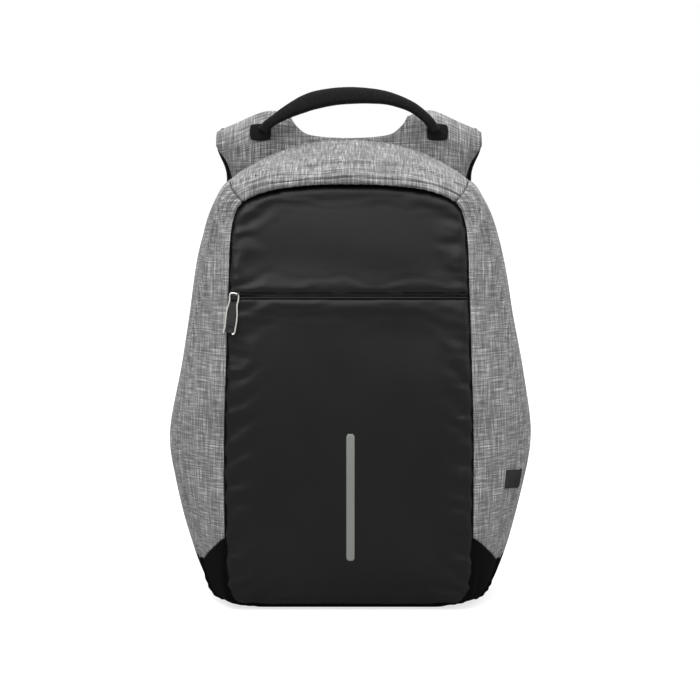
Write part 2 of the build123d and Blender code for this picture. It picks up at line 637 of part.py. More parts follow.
def handle():
    """Webbing carry handle."""
    top, under = ([Vector(x, HANDLE_Y[0], z) for x, z in row] for row in (HANDLE_TOP, HANDLE_UNDER))
    ends = [Line(top[-1], under[0]), Line(under[-1], top[0])]
    grip = Face(Wire([Spline(*top), ends[0], Spline(*under), ends[1]]))
    return extrude(grip, HANDLE_Y[1] - HANDLE_Y[0], dir=(0, 1, 0))


def build():
    """All solids by node name."""
    parts = front_panels() | wall_panels() | shell_inside()
    for group in usb_port() + front_pull() + main_zip(1) + main_zip(-1) + lumbar_zip():
        parts |= group
    parts |= back_layers() | pads() | sleeves()
    parts["yoke"] = yoke()
    parts["handle_tabs"] = tabs()
    parts["handle_grip"] = handle()
    for name, solid in shoulder_strap().items():
        parts[name + "_right"] = solid
        parts[name + "_left"] = mirrored(solid)
    return parts


os.makedirs("parts", exist_ok=True)
for node, solid in build().items():
    export_step(solid, f"parts/{node}.step")
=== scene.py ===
import math

import bmesh
import bpy
import numpy as np
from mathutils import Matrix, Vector
from mathutils.geometry import delaunay_2d_cdt


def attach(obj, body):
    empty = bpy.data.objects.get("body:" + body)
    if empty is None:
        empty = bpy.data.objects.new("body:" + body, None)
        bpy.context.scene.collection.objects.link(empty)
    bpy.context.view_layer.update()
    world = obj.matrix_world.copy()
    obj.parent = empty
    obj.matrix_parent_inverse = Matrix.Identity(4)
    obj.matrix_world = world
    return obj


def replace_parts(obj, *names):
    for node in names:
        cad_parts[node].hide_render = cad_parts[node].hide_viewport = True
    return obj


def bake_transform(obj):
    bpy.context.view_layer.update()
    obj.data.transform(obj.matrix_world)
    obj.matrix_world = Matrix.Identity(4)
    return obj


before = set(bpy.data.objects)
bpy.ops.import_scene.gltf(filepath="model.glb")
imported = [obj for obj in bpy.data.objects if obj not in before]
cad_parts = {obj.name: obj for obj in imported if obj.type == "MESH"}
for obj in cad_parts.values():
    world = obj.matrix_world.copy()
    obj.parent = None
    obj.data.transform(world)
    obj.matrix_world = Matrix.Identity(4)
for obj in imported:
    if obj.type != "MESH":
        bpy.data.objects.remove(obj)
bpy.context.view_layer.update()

# Looks of an anti-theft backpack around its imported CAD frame.
# Lengths in this script are millimetres until a mesh is made; MM turns them into metres.
MM = 0.001

# ---------------------------------------------------------------- shape of the bag, as in the frame
REAR_Y = 38.0
RIDGE_SHARE = 0.6
FLOOR_GAP = 1.6
STATIONS = [
    ((0, 4), (0, -15, 2), (0, 4)),
    ((72, 4), (84, -15, 2), (90, 4)),
    ((98, 6), (116, -18, 3), (118, 8)),
    ((109, 12), (133, -20, 10), (137, 21)),
    ((113, 28), (144, -20, 30), (146, 46)),
    ((114, 70), (155, -20, 64), (148, 76)),
    ((114, 120), (166, -20, 112), (148, 122)),
    ((113.5, 172), (170, -20, 162), (148, 172)),
    ((112, 235), (160, -20, 232), (148, 235)),
    ((110.5, 297), (148, -20, 300), (147, 300)),
    ((109.5, 338), (137, -24, 350), (139, 352)),
    ((106, 361), (126, -32, 377), (127, 382)),
    ((97, 376), (112, -40, 394), (113, 401)),
    ((72, 386), (80, -46, 406), (80, 421)),
    ((36, 391), (40, -48, 412), (40, 434)),
    ((0, 392), (0, -48, 414), (0, 438)),
]   # front seam (x, z), ridge (x, y, z), rear edge (x, z), from the bottom centre up the right side
HALF = len(STATIONS) - 1
BASE_END = 5.0
CORNER = 12.0
FRONT_PROFILE = [(0, -92), (12, -100), (40, -107), (90, -111), (150, -112), (210, -110),
                 (270, -103), (330, -92), (370, -82), (396, -76)]   # (z, y)


def full_outline(curve):
    """Stations of one outline all the way round, as an array."""
    right = [row[curve] for row in STATIONS]
    left = [(-p[0],) + tuple(p[1:]) for p in right[-2:0:-1]]
    return np.array(right + left, float)


OUTLINES = [full_outline(curve) for curve in range(3)]


def catmull_rom(a, b, c, d, f):
    """Point at share f between b and c on a smooth curve through four points."""
    square = (2 * a - 5 * b + 4 * c - d) * f ** 2
    cube = (3 * b - a - 3 * c + d) * f ** 3
    return 0.5 * (2 * b + (c - a) * f + square + cube)


def unit(vectors):
    """Vectors of length one, along the last axis."""
    return vectors / np.maximum(np.linalg.norm(vectors, axis=-1, keepdims=True), 1e-9)


def outline(u, curve):
    """Points of an outline at loop parameters u: 0 bottom centre, HALF top centre."""
    rows = OUTLINES[curve]
    whole = np.floor(u).astype(int)
    f = (u - whole)[..., None]
    return catmull_rom(*(rows[(whole + k) % len(rows)] for k in (-1, 0, 1, 2)), f)


def inset_outline(u, curve, inset, reach=0.2):
    """Points of an outline moved inwards in its plane, and their outward directions."""
    tangent = unit(outline(u + reach, curve) - outline(u - reach, curve))
    outward = np.stack([tangent[:, 1], -tangent[:, 0]], 1)
    return outline(u, curve) - inset * outward, outward


def front_y(z):
    """y of the outside of the front panel at heights z."""
    zs, ys = np.array(FRONT_PROFILE, float).T
    last = len(zs) - 1
    after = np.minimum(np.arange(last + 1) + 1, last)
    before = np.maximum(np.arange(last + 1) - 1, 0)
    slopes = (ys[after] - ys[before]) / (zs[after] - zs[before])
    i = np.clip(np.searchsorted(zs, z, side="right") - 1, 0, last - 1)
    step = zs[i + 1] - zs[i]
    t = np.clip((z - zs[i]) / step, 0, 1)
    return (ys[i] * (1 + 2 * t) * (1 - t) ** 2 + slopes[i] * step * t * (1 - t) ** 2
            + ys[i + 1] * t * t * (3 - 2 * t) - slopes[i + 1] * step * t * t * (1 - t))


def wall(u, v):
    """Outside of the bag wall at loop parameters u, from the front seam (v=0) to the rear edge (v=1)."""
    front, ridge, rear = outline(u, 0), outline(u, 1), outline(u, 2)
    fy = front_y(front[..., 1])
    front = np.stack([front[..., 0], fy, front[..., 1]], -1)
    rear = np.stack([rear[..., 0], np.full_like(fy, REAR_Y), rear[..., 1]], -1)
    s = RIDGE_SHARE
    w = [(v - s) * (v - 1) / s, v * (1 - v) / (s * (1 - s)), v * (v - s) / (1 - s)]
    p = sum(k[..., None] * q for k, q in zip(w, (front, ridge, rear)))
    p[..., 2] = np.maximum(p[..., 2], FLOOR_GAP)
    return p


def wall_normal(u, v):
    """Outward directions of the wall, from small steps along and across it."""
    h = 0.02
    along = wall(u + h, v) - wall(u - h, v)
    across = wall(u, np.minimum(v + h, 1)) - wall(u, np.maximum(v - h, 0))
    return unit(np.cross(across, along))


# ---------------------------------------------------------------- materials
def new_material(name):
    material = bpy.data.materials.new(name)
    material.use_nodes = True
    nodes, links = material.node_tree.nodes, material.node_tree.links
    return material, nodes, links, nodes["Principled BSDF"]


def add(nodes, kind, **settings):
    node = nodes.new(kind)
    for key, value in settings.items():
        if key in node.inputs:
            node.inputs[key].default_value = value
        else:
            setattr(node, key, value)
    return node


def set_surface(shader, specular, roughness=None, sheen=0.0):
    shader.inputs["Specular IOR Level"].default_value = specular
    shader.inputs["Sheen Weight"].default_value = sheen
    if roughness is not None:
        shader.inputs["Roughness"].default_value = roughness


def vary_roughness(nodes, links, value, shader, low, high):
    """Roughness between two numbers, as a noise value goes from 0 to 1."""
    worn = nodes.new("ShaderNodeMapRange")
    worn.inputs["To Min"].default_value = low
    worn.inputs["To Max"].default_value = high
    links.new(value, worn.inputs[0])
    links.new(worn.outputs[0], shader.inputs["Roughness"])


def math_node(nodes, links, operation, a, b=None, c=None):
    node = nodes.new("ShaderNodeMath")
    node.operation = operation
    for socket, value in zip(node.inputs, (a, b, c)):
        if value is None:
            continue
        if isinstance(value, (int, float)):
            socket.default_value = value
        else:
            links.new(value, socket)
    return node.outputs[0]


def stretched_noise(nodes, links, coordinates, scale, detail=2.0, roughness=0.5, offset=0.0):
    """Noise whose grain is as long as scale says along each axis: scale is cycles per metre in x, y, z."""
    mapping = add(nodes, "ShaderNodeMapping", Scale=scale, Location=(offset, offset * 0.37, offset * 0.71))
    links.new(coordinates, mapping.inputs["Vector"])
    noise = add(nodes, "ShaderNodeTexNoise", Scale=1.0, Detail=detail, Roughness=roughness)
    links.new(mapping.outputs[0], noise.inputs["Vector"])
    return noise.outputs["Fac"]


def ramp(nodes, links, value, stops):
    node = nodes.new("ShaderNodeValToRGB")
    elements = node.color_ramp.elements
    while len(elements) < len(stops):
        elements.new(0.5)
    for element, (place, color) in zip(elements, stops):
        element.position = place
        element.color = (*color, 1) if len(color) == 3 else color
    links.new(value, node.inputs[0])
    return node.outputs[0]


def weave_height(nodes, links, coordinates, pitch):
    """Height of a plain weave, 0 to 1, whose threads are pitch metres apart."""
    split = nodes.new("ShaderNodeSeparateXYZ")
    links.new(coordinates, split.inputs[0])
    angles = [math_node(nodes, links, "MULTIPLY", split.outputs[k], math.tau / pitch) for k in (0, 1)]
    product = math_node(nodes, links, "MULTIPLY", *(math_node(nodes, links, "SINE", angle) for angle in angles))
    return math_node(nodes, links, "MULTIPLY_ADD", product, 0.5, 0.5)


def bump(nodes, links, height, shader, distance, strength=1.0):
    node = add(nodes, "ShaderNodeBump", Strength=strength, Distance=distance)
    links.new(height, node.inputs["Height"])
    links.new(node.outputs[0], shader.inputs["Normal"])


def coordinates_of(nodes, kind="UV"):
    return nodes.new("ShaderNodeTexCoord").outputs[kind]


def melange_cloth():
    """Grey two-tone cloth: light and dark slubs along both thread directions."""
    material, nodes, links, shader = new_material("melange_cloth")
    uv = coordinates_of(nodes)
    across = stretched_noise(nodes, links, uv, (42, 850, 1), 2.0, 0.55)
    along = stretched_noise(nodes, links, uv, (850, 42, 1), 2.0, 0.55, 3.1)
    fine = stretched_noise(nodes, links, uv, (1100, 1100, 1), 1.0, 0.5, 7.7)
    patches = stretched_noise(nodes, links, uv, (28, 28, 1), 2.0, 0.5, 1.3)
    threads = math_node(nodes, links, "ADD", across, along)
    threads = math_node(nodes, links, "MULTIPLY_ADD", threads, 0.5, -0.5)
    grain = math_node(nodes, links, "MULTIPLY_ADD", fine, 0.22, -0.11)
    cloud = math_node(nodes, links, "MULTIPLY_ADD", patches, 0.16, -0.08)
    mixed = math_node(nodes, links, "ADD", math_node(nodes, links, "MULTIPLY", threads, 1.8), grain)
    mixed = math_node(nodes, links, "ADD", mixed, cloud)
    mixed = math_node(nodes, links, "ADD", mixed, 0.5)
    color = ramp(nodes, links, mixed, [(0.12, (0.045, 0.045, 0.046)), (0.42, (0.14, 0.14, 0.142)),
                                       (0.60, (0.26, 0.26, 0.262)), (0.86, (0.62, 0.62, 0.612))])
    links.new(color, shader.inputs["Base Color"])
    set_surface(shader, 0.2, 0.92, 0.08)
    height = math_node(nodes, links, "ADD", weave_height(nodes, links, uv, 0.0011), mixed)
    bump(nodes, links, height, shader, 0.00025, 0.8)
    return material


def coated_cloth():
    """Black coated cloth: satin, with a very fine weave and slight clouding of the gloss."""
    material, nodes, links, shader = new_material("coated_cloth")
    uv = coordinates_of(nodes)
    cloud = stretched_noise(nodes, links, uv, (16, 12, 1), 3.0, 0.55)
    color = ramp(nodes, links, cloud, [(0.3, (0.0030, 0.0030, 0.0028)), (0.7, (0.0050, 0.0050, 0.0047))])
    links.new(color, shader.inputs["Base Color"])
    vary_roughness(nodes, links, cloud, shader, 0.37, 0.46)
    set_surface(shader, 0.23)
    fine = stretched_noise(nodes, links, uv, (900, 900, 1), 2.0, 0.6, 2.0)
    height = math_node(nodes, links, "ADD", weave_height(nodes, links, uv, 0.0007), fine)
    bump(nodes, links, height, shader, 0.00006, 0.6)
    return material


def plain_cloth(name, dark, light, pitch, depth):
    """A woven cloth of one colour, for the base, the lining and tapes."""
    material, nodes, links, shader = new_material(name)
    uv = coordinates_of(nodes)
    threads = weave_height(nodes, links, uv, pitch)
    wear = stretched_noise(nodes, links, uv, (60, 60, 1), 3.0, 0.6)
    mixed = math_node(nodes, links, "ADD", math_node(nodes, links, "MULTIPLY", threads, 0.5),
                      math_node(nodes, links, "MULTIPLY", wear, 0.5))
    links.new(ramp(nodes, links, mixed, [(0.2, dark), (0.8, light)]), shader.inputs["Base Color"])
    set_surface(shader, 0.03, 0.9)
    bump(nodes, links, threads, shader, depth, 0.9)
    return material


def solid_surface(name, color, roughness, metallic=0.0, grain=400, variation=0.25, depth=0.00003):
    """Metal, rubber or plastic with fine grain and a little variation."""
    material, nodes, links, shader = new_material(name)
    place = coordinates_of(nodes, "Object")
    fine = stretched_noise(nodes, links, place, (grain, grain, grain), 3.0, 0.6)
    low = tuple(c * (1 - variation) for c in color)
    high = tuple(min(c * (1 + variation), 1.0) for c in color)
    links.new(ramp(nodes, links, fine, [(0.25, low), (0.75, high)]), shader.inputs["Base Color"])
    vary_roughness(nodes, links, fine, shader, max(roughness - 0.08, 0.05), min(roughness + 0.08, 1.0))
    shader.inputs["Metallic"].default_value = metallic
    set_surface(shader, 0.5 if metallic else 0.3)
    bump(nodes, links, fine, shader, depth, 0.5)
    return material


MESH_PITCH = 0.0042   # metres between the holes


def air_mesh_cloth():
    """Spacer mesh: a staggered grid of small holes in black knit; their darkness is painted shade in the base
    colour, with a bump.
    """
    material, nodes, links, shader = new_material("air_mesh")
    uv = coordinates_of(nodes)
    mapping = add(nodes, "ShaderNodeMapping", Scale=(1 / MESH_PITCH, 1 / MESH_PITCH, 1))
    links.new(uv, mapping.inputs["Vector"])
    cells = add(nodes, "ShaderNodeTexVoronoi", Scale=1.0, Randomness=0.12)
    links.new(mapping.outputs[0], cells.inputs["Vector"])
    # Painted shade: the holes get a darker colour that stands in for the shade inside them.
    painted_hole_shade = ramp(nodes, links, cells.outputs["Distance"],
                 [(0.22, (0.002, 0.002, 0.002)), (0.36, (0.014, 0.014, 0.0145))])
    links.new(painted_hole_shade, shader.inputs["Base Color"])
    set_surface(shader, 0.16, 0.85, 0.05)
    bump(nodes, links, cells.outputs["Distance"], shader, 0.0006, 1.0)
    return material


def ribbed_webbing():
    """Black webbing: ribs across, with a herringbone shimmer."""
    material, nodes, links, shader = new_material("ribbed_webbing")
    uv = coordinates_of(nodes)
    threads = weave_height(nodes, links, uv, 0.0016)
    wear = stretched_noise(nodes, links, uv, (120, 400, 1), 2.0, 0.6)
    mixed = math_node(nodes, links, "MULTIPLY", math_node(nodes, links, "ADD", threads, wear), 0.5)
    links.new(ramp(nodes, links, mixed, [(0.25, (0.003, 0.003, 0.003)), (0.75, (0.015, 0.015, 0.0145))]),
              shader.inputs["Base Color"])
    set_surface(shader, 0.12, 0.78, 0.02)
    bump(nodes, links, mixed, shader, 0.0004, 1.0)
    return material


MELANGE = melange_cloth()
COATED = coated_cloth()
BASE_CLOTH = plain_cloth("base_cloth", (0.0015, 0.0015, 0.0015), (0.006, 0.006, 0.0062), 0.0012, 0.0002)
LINING_CLOTH = plain_cloth("lining_cloth", (0.05, 0.05, 0.052), (0.10, 0.10, 0.105), 0.0008, 0.00008)
TAPE_CLOTH = plain_cloth("tape_cloth", (0.003, 0.003, 0.003), (0.010, 0.010, 0.010), 0.0009, 0.0001)
LABEL_CLOTH = plain_cloth("label_cloth", (0.016, 0.016, 0.016), (0.045, 0.045, 0.045), 0.0009, 0.0001)
AIR_MESH = air_mesh_cloth()
WEBBING = ribbed_webbing()
COIL = solid_surface("nylon_coil", (0.012, 0.012, 0.012), 0.42)
BRIGHT = solid_surface("bright_metal", (0.66, 0.65, 0.62), 0.26, 1.0, 1800, 0.05, 0.000004)
DARK_METAL = solid_surface("dark_metal", (0.035, 0.035, 0.036), 0.35, 0.8)
RUBBER = solid_surface("black_rubber", (0.012, 0.012, 0.012), 0.6)
PLASTIC = solid_surface("black_plastic", (0.016, 0.016, 0.016), 0.45)
REFLECTIVE = solid_surface("reflective_film", (0.19, 0.20, 0.182), 0.46, 0.0, 1500, 0.10)
BRASS = solid_surface("contact_metal", (0.75, 0.55, 0.25), 0.3, 1.0)
FOAM = solid_surface("foam", (0.35, 0.35, 0.36), 0.95, 0.0, 900, 0.2, 0.0002)
BOARD = solid_surface("board", (0.03, 0.03, 0.03), 0.6)
THREAD_GREY = solid_surface("thread_grey", (0.30, 0.30, 0.30), 0.8, 0.0, 2500, 0.3)
THREAD_BLACK = solid_surface("thread_black", (0.012, 0.012, 0.012), 0.7, 0.0, 2500, 0.3)


# ---------------------------------------------------------------- mesh helpers
def new_object(name, data):
    obj = bpy.data.objects.new(name, data)
    bpy.context.scene.collection.objects.link(obj)
    return obj


def make_object(name, vertices, faces, material, uvs=None, smooth=True):
    """A mesh object from millimetre vertices; uvs holds one (u, v) in metres per vertex."""
    mesh = bpy.data.meshes.new(name)
    mesh.from_pydata([tuple(v) for v in np.asarray(vertices, float) * MM], [], faces)
    if uvs is not None:
        layer = mesh.uv_layers.new(name="weave")
        loops = np.zeros(len(mesh.loops), int)
        mesh.loops.foreach_get("vertex_index", loops)
        layer.data.foreach_set("uv", np.asarray(uvs, np.float32)[loops].ravel())
    mesh.polygons.foreach_set("use_smooth", [smooth] * len(mesh.polygons))
    mesh.materials.append(material)
    mesh.update()
    return new_object(name, mesh)


def grid_normals(points):
    """Unit normals of a grid of points, from its own differences."""
    du = np.gradient(points, axis=0)
    dv = np.gradient(points, axis=1)
    return unit(np.cross(dv, du))


def arc_lengths(points, axis):
    """Distance along a grid from its first row or column."""
    steps = np.linalg.norm(np.diff(points, axis=axis), axis=-1)
    zero = np.zeros_like(np.take(steps, [0], axis=axis))
    return np.concatenate([zero, np.cumsum(steps, axis=axis)], axis=axis)


def make_outward(obj):
    """Turns all faces outwards."""
    mesh = bmesh.new()
    mesh.from_mesh(obj.data)
    bmesh.ops.recalc_face_normals(mesh, faces=mesh.faces)
    mesh.to_mesh(obj.data)
    mesh.free()


def grid_faces(rows, columns):
    """Quads of a grid of points."""
    corners = [i * columns + j for i in range(rows - 1) for j in range(columns - 1)]
    return [(a, a + columns, a + columns + 1, a + 1) for a in corners]


def grid_border(rows, columns):
    """Indices of the points round the border of a grid, in order."""
    return ([j for j in range(columns)] + [i * columns + columns - 1 for i in range(1, rows)]
            + [(rows - 1) * columns + j for j in range(columns - 2, -1, -1)]
            + [i * columns for i in range(rows - 2, 0, -1)])


def closed_sheet(name, outer, inner, uv, faces, borders, material):
    """A closed piece between an outer and an inner layer of points that share their faces and borders."""
    outer, inner, uv = outer.reshape(-1, 3), inner.reshape(-1, 3), uv.reshape(-1, 2)
    count = len(outer)
    both = faces + [tuple(i + count for i in reversed(face)) for face in faces]
    for border in borders:
        both += [(a, b, b + count, a + count) for a, b in zip(border, border[1:] + border[:1])]
    obj = make_object(name, np.concatenate([outer, inner]), both, material, np.concatenate([uv, uv]))
    make_outward(obj)
    return obj


def sheet_solid(name, points, uv, material, thickness, inward=None):
    """A closed sheet: a grid of points, and the same grid moved inwards."""
    size = points.shape[:2]
    inner = points - (grid_normals(points) if inward is None else inward) * thickness
    return closed_sheet(name, points, inner, uv, grid_faces(*size), [grid_border(*size)], material)


def grid_uv(across, along):
    """UVs in metres from two grids of millimetres."""
    return np.stack(np.broadcast_arrays(across, along), -1) * MM


def waves(position, seed, scale, octaves=3):
    """Smooth pseudo-random field, about -1 to 1, from a sum of seeded sine waves. position is in millimetres."""
    rng = np.random.default_rng(seed)
    total = np.zeros(position.shape[:-1])
    for octave in range(octaves):
        for _ in range(5):
            direction = unit(rng.normal(size=3))
            phase = rng.uniform(0, math.tau)
            wavelength = scale / (1.7 ** octave) * rng.uniform(0.8, 1.25)
            total += np.sin(position @ direction * math.tau / wavelength + phase) * 0.55 ** octave
    return total / 3.2


def cut_area(piece):
    """Area of one side of a piece in its flat layout, its UVs in metres, and not of its shape in space."""
    layer = piece.data.uv_layers[0].data
    uv = np.zeros(len(layer) * 2)
    layer.foreach_get("uv", uv)
    uv = uv.reshape(-1, 2)
    total = 0.0
    for polygon in piece.data.polygons:
        x, y = uv[polygon.loop_start:polygon.loop_start + polygon.loop_total].T
        total += abs(np.dot(x, np.roll(y, -1)) - np.dot(y, np.roll(x, -1))) / 2
    return total / 2


def as_sheet(piece):
    """Works out the area of a piece's flat layout and does nothing with it; returns the piece."""
    laid_out = cut_area(piece)
    return piece


def hump(distance, width):
    """A smooth bump, 1 at distance 0 and nearly gone two widths away."""
    return np.exp(-(distance / width) ** 2)


def smoothstep(x, low, high):
    """0 below low, 1 above high, smooth between them."""
    t = np.clip((x - low) / (high - low), 0, 1)
    return t * t * (3 - 2 * t)


# ---------------------------------------------------------------- bag wall
WALL_THICK = 1.2
SHELL_END = 0.955     # v at which the inner layers end
CLOTH_END = 0.984     # v at which the cloth ends, beside the main zip
SEAM_V = 0.004        # v of the front seam
WALL_COLUMNS = 90
CORNER_GAP = 0.012    # u left free on each side of a seam between two pieces


def welt_v(u):
    """Where the piped seam runs: well in front of the widest line on the sides, on it at the top."""
    return 0.36 + 0.24 * (1 - smoothstep(np.abs(u - HALF), 1.2, 4.0))


def wall_relief(u, v, points, front_arc, rear_arc):
    """How far the cloth stands proud of the plain wall, in millimetres."""
    along = arc_lengths(points, 0)
    welt = welt_v(u)
    total = front_arc + rear_arc
    welt_arc = (v - welt) * total
    relief = waves(points, 5, 120.0) * 1.3 * smoothstep(front_arc, 0, 14) * smoothstep(rear_arc, 0, 14)
    # The front seam's groove and the swell behind it, the piped welt, and the puckers along the seams.
    relief -= 1.5 * hump(front_arc, 1.6)
    relief += 0.9 * hump(front_arc - 5.5, 3.0)
    relief += 2.1 * hump(welt_arc, 1.6) - 1.0 * hump(welt_arc + 3.8, 1.7) - 1.2 * hump(welt_arc - 4.0, 2.1)
    pucker = np.sin(along * math.tau / 8.5 + 2.0 * waves(points, 8, 40.0))
    relief += 0.34 * pucker * (hump(welt_arc, 9.0) + 0.7 * hump(front_arc, 10.0) + 0.7 * hump(rear_arc, 9.0))
    # Folds round the top, the groove of the corner seams, the rear edge, and the side that bulges more.
    high = smoothstep(points[..., 2], 230, 340)
    for share, depth in ((0.40, 1.3), (0.68, 1.0)):
        relief -= 1.4 * depth * high * hump((v - welt * share) * total, 2.4)
        relief += depth * high * hump((v - welt * share) * total - 5, 3.8)
    relief -= 1.8 * hump((np.abs(u - HALF) - (HALF - CORNER)) * 34.0, 1.8) * smoothstep(u, 3, 6)
    relief += 0.5 * hump(rear_arc, 3.0)
    bulge = smoothstep(np.abs(points[..., 0]), 105, 150) * smoothstep(points[..., 2], 60, 130)
    bulge = bulge * (1 - smoothstep(points[..., 2], 330, 400))
    relief += bulge * np.where(points[..., 0] > 0, 3.2, -0.6)
    return np.maximum(relief, -2.6)


def wall_grid(u_low, u_high, rows, lift=0.0):
    """Points and arc lengths of the cloth of a stretch of wall; u_low and u_high are functions of v."""
    v = np.linspace(SEAM_V, CLOTH_END, WALL_COLUMNS)[None, :]
    share = np.linspace(0, 1, rows)[:, None]
    u = u_low(v) + (u_high(v) - u_low(v)) * share
    v = np.broadcast_to(v, u.shape).copy()
    points = wall(u, v)
    across = arc_lengths(points, 1)
    relief = wall_relief(u, v, points, across, across[:, -1:] - across)
    return v, points + wall_normal(u, v) * (relief[..., None] + lift), across


def wall_piece(name, u_low, u_high, rows, material, turn_uv=False):
    """One piece of cloth of the wall; turn_uv lays its weave along x for the top."""
    _, points, across = wall_grid(u_low, u_high, rows)
    points[..., 2] = np.maximum(points[..., 2], FLOOR_GAP)
    uv = grid_uv(points[..., 0], across) if turn_uv else grid_uv(across, points[..., 2])
    return sheet_solid(name, points, uv, material, WALL_THICK)


def side_low(v):
    """Lower edge of the right side panel: high at the front seam, lower behind it."""
    return BASE_END - 0.5 * np.minimum(v / 0.3, 1.0)


def constant(value):
    """A function of v that is the same all along."""
    return lambda v: np.full_like(v, value)


FULL_TURN = 2 * HALF
right_side = wall_piece("side_cloth_right", side_low, constant(CORNER - CORNER_GAP), 190, MELANGE)
left_side = wall_piece("side_cloth_left", constant(FULL_TURN - CORNER + CORNER_GAP),
                       lambda v: FULL_TURN - side_low(v), 190, MELANGE)
top_cloth = wall_piece("top_cloth", constant(CORNER + CORNER_GAP), constant(FULL_TURN - CORNER - CORNER_GAP),
                       150, MELANGE, turn_uv=True)
base_cloth = wall_piece("base_cloth", lambda v: CORNER_GAP - side_low(v), lambda v: side_low(v) - CORNER_GAP,
                        220, BASE_CLOTH)
for cloth, node in ((right_side, "side_panel_right"), (left_side, "side_panel_left"), (top_cloth, "top_band"),
                    (base_cloth, "base_cup")):
    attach(cloth, "front_shell")
    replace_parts(cloth, node)


def side_label():
    """A plain blank patch sewn on the right side, following the relief of the cloth."""
    v, points, across = wall_grid(constant(5.95), constant(6.30), 24, lift=0.8)
    shown = (v[0] > 0.21) & (v[0] < 0.42)
    points, across = points[:, shown], across[:, shown]
    label = sheet_solid("side_label", points, grid_uv(across, points[..., 2]), LABEL_CLOTH, 0.9)
    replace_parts(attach(label, "front_shell"), "blank_patch")


side_label()


# ---------------------------------------------------------------- front panels
FRONT_ZIP_Z = 291.0
ZIP_SLOT = 2.6
PANEL_INSET = 0.7
PANEL_THICK = 1.2
PANEL_SPACING = 3.2
ZIP_TOP, ZIP_FLOOR = FRONT_ZIP_Z + ZIP_SLOT / 2, FRONT_ZIP_Z - ZIP_SLOT / 2


def cut_outline(points, level, keep_upper, step=3.0):
    """The part of a closed outline above or below a level, its cut edge filled with points."""
    kept = points[:, 1] >= level if keep_upper else points[:, 1] <= level
    count = len(points)
    start = next(i for i in range(count) if kept[i] and not kept[i - 1])
    ring = []
    while kept[(start + len(ring)) % count]:
        ring.append(tuple(points[(start + len(ring)) % count]))
    first, last = ring[0][0], ring[-1][0]
    ring[0], ring[-1] = (first, level), (last, level)
    fill = max(int(abs(first - last) / step), 1)
    return ring + [(last + (first - last) * k / fill, level) for k in range(1, fill)]


def fill_outline(ring, spacing):
    """Triangles over a closed outline: (vertices in 2-D, faces, indices of its border vertices)."""
    ring = np.array(ring)
    low, high = ring.min(0), ring.max(0)
    points = [Vector(p) for p in ring]
    border = len(points)
    edges = [(i, (i + 1) % border) for i in range(border)]
    xs = np.arange(low[0] + spacing / 2, high[0], spacing)
    zs = np.arange(low[1] + spacing / 2, high[1], spacing * 0.866)
    for row, z in enumerate(zs):
        for x in xs + (spacing / 2 if row % 2 else 0):
            p = np.array([x, z])
            if inside_outline(p, ring) and np.min(np.linalg.norm(ring - p, axis=1)) > spacing * 0.6:
                points.append(Vector(p))
    result = delaunay_2d_cdt(points, edges, [list(range(border))], 1, 1e-4)
    return np.array([tuple(p) for p in result[0]]), [tuple(f) for f in result[2]], list(range(border))


def inside_outline(p, ring):
    """Whether a 2-D point is inside a closed outline, by the edges that a ray from it crosses."""
    x, y = p
    a, b = ring, np.roll(ring, -1, axis=0)
    crosses = (a[:, 1] > y) != (b[:, 1] > y)
    at = a[:, 0] + (y - a[:, 1]) * (b[:, 0] - a[:, 0]) / np.where(crosses, b[:, 1] - a[:, 1], 1)
    return np.count_nonzero(crosses & (x < at)) % 2 == 1


def distance_to(points, ring):
    """Distance of each 2-D point to a closed outline."""
    a, b = ring, np.roll(ring, -1, axis=0)
    best = np.full(len(points), 1e9)
    for p0, p1 in zip(a, b):
        d = p1 - p0
        t = np.clip(((points - p0) @ d) / max(d @ d, 1e-9), 0, 1)
        best = np.minimum(best, np.linalg.norm(points - p0 - t[:, None] * d, axis=1))
    return best


def front_relief(flat, edge_distance):
    """Relief of the coated cloth: dents along the seams, soft wrinkles and a slow wave."""
    x, z = flat[:, 0], flat[:, 1]
    points = np.stack([x, np.zeros_like(x), z], 1)
    slow = waves(points, 21, 150.0, 2) * 1.5
    seam = np.abs(x) / 112
    creases = np.sin((z + 0.55 * np.abs(x)) * math.tau / 26 + 2.6 * waves(points, 4, 70.0))
    puckers = np.sin(z * math.tau / 11 + 3.0 * waves(points, 9, 45.0))
    near = hump(edge_distance, 16.0)
    relief = slow * smoothstep(edge_distance, 0, 40)
    relief += creases * 1.0 * hump(edge_distance - 12, 16.0) * smoothstep(seam, 0.45, 0.9)
    relief += puckers * 0.45 * near * smoothstep(edge_distance, 0, 5)
    relief -= 1.6 * hump(edge_distance, 1.8)
    relief += 0.8 * hump(edge_distance - 7, 5.0)
    return relief


def profile_arc():
    """Heights and the distance along the front profile up to each."""
    z = np.linspace(0, 396, 200)
    return z, arc_lengths(np.stack([z, front_y(z)], 1), 0)


def front_piece(name, node, level, keep_upper):
    """One of the two coated cloths of the front, above or below the zip."""
    edge = inset_outline(np.arange(0, FULL_TURN, 0.08), 0, PANEL_INSET, reach=0.1)[0]
    ring = cut_outline(edge, level, keep_upper)
    flat, faces, border = fill_outline(ring, PANEL_SPACING)
    y = front_y(flat[:, 1]) - front_relief(flat, distance_to(flat, np.array(ring)))
    outer = np.stack([flat[:, 0], y, flat[:, 1]], 1)
    uv = grid_uv(flat[:, 0], np.interp(flat[:, 1], *profile_arc()))
    piece = closed_sheet(name, outer, outer + np.array([0, PANEL_THICK, 0]), uv, faces, [border], COATED)
    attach(piece, "front_shell")
    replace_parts(piece, node)
    as_sheet(piece)


front_piece("front_cloth_upper", "front_panel_upper", ZIP_TOP, True)
front_piece("front_cloth_lower", "front_panel_lower", ZIP_FLOOR, False)


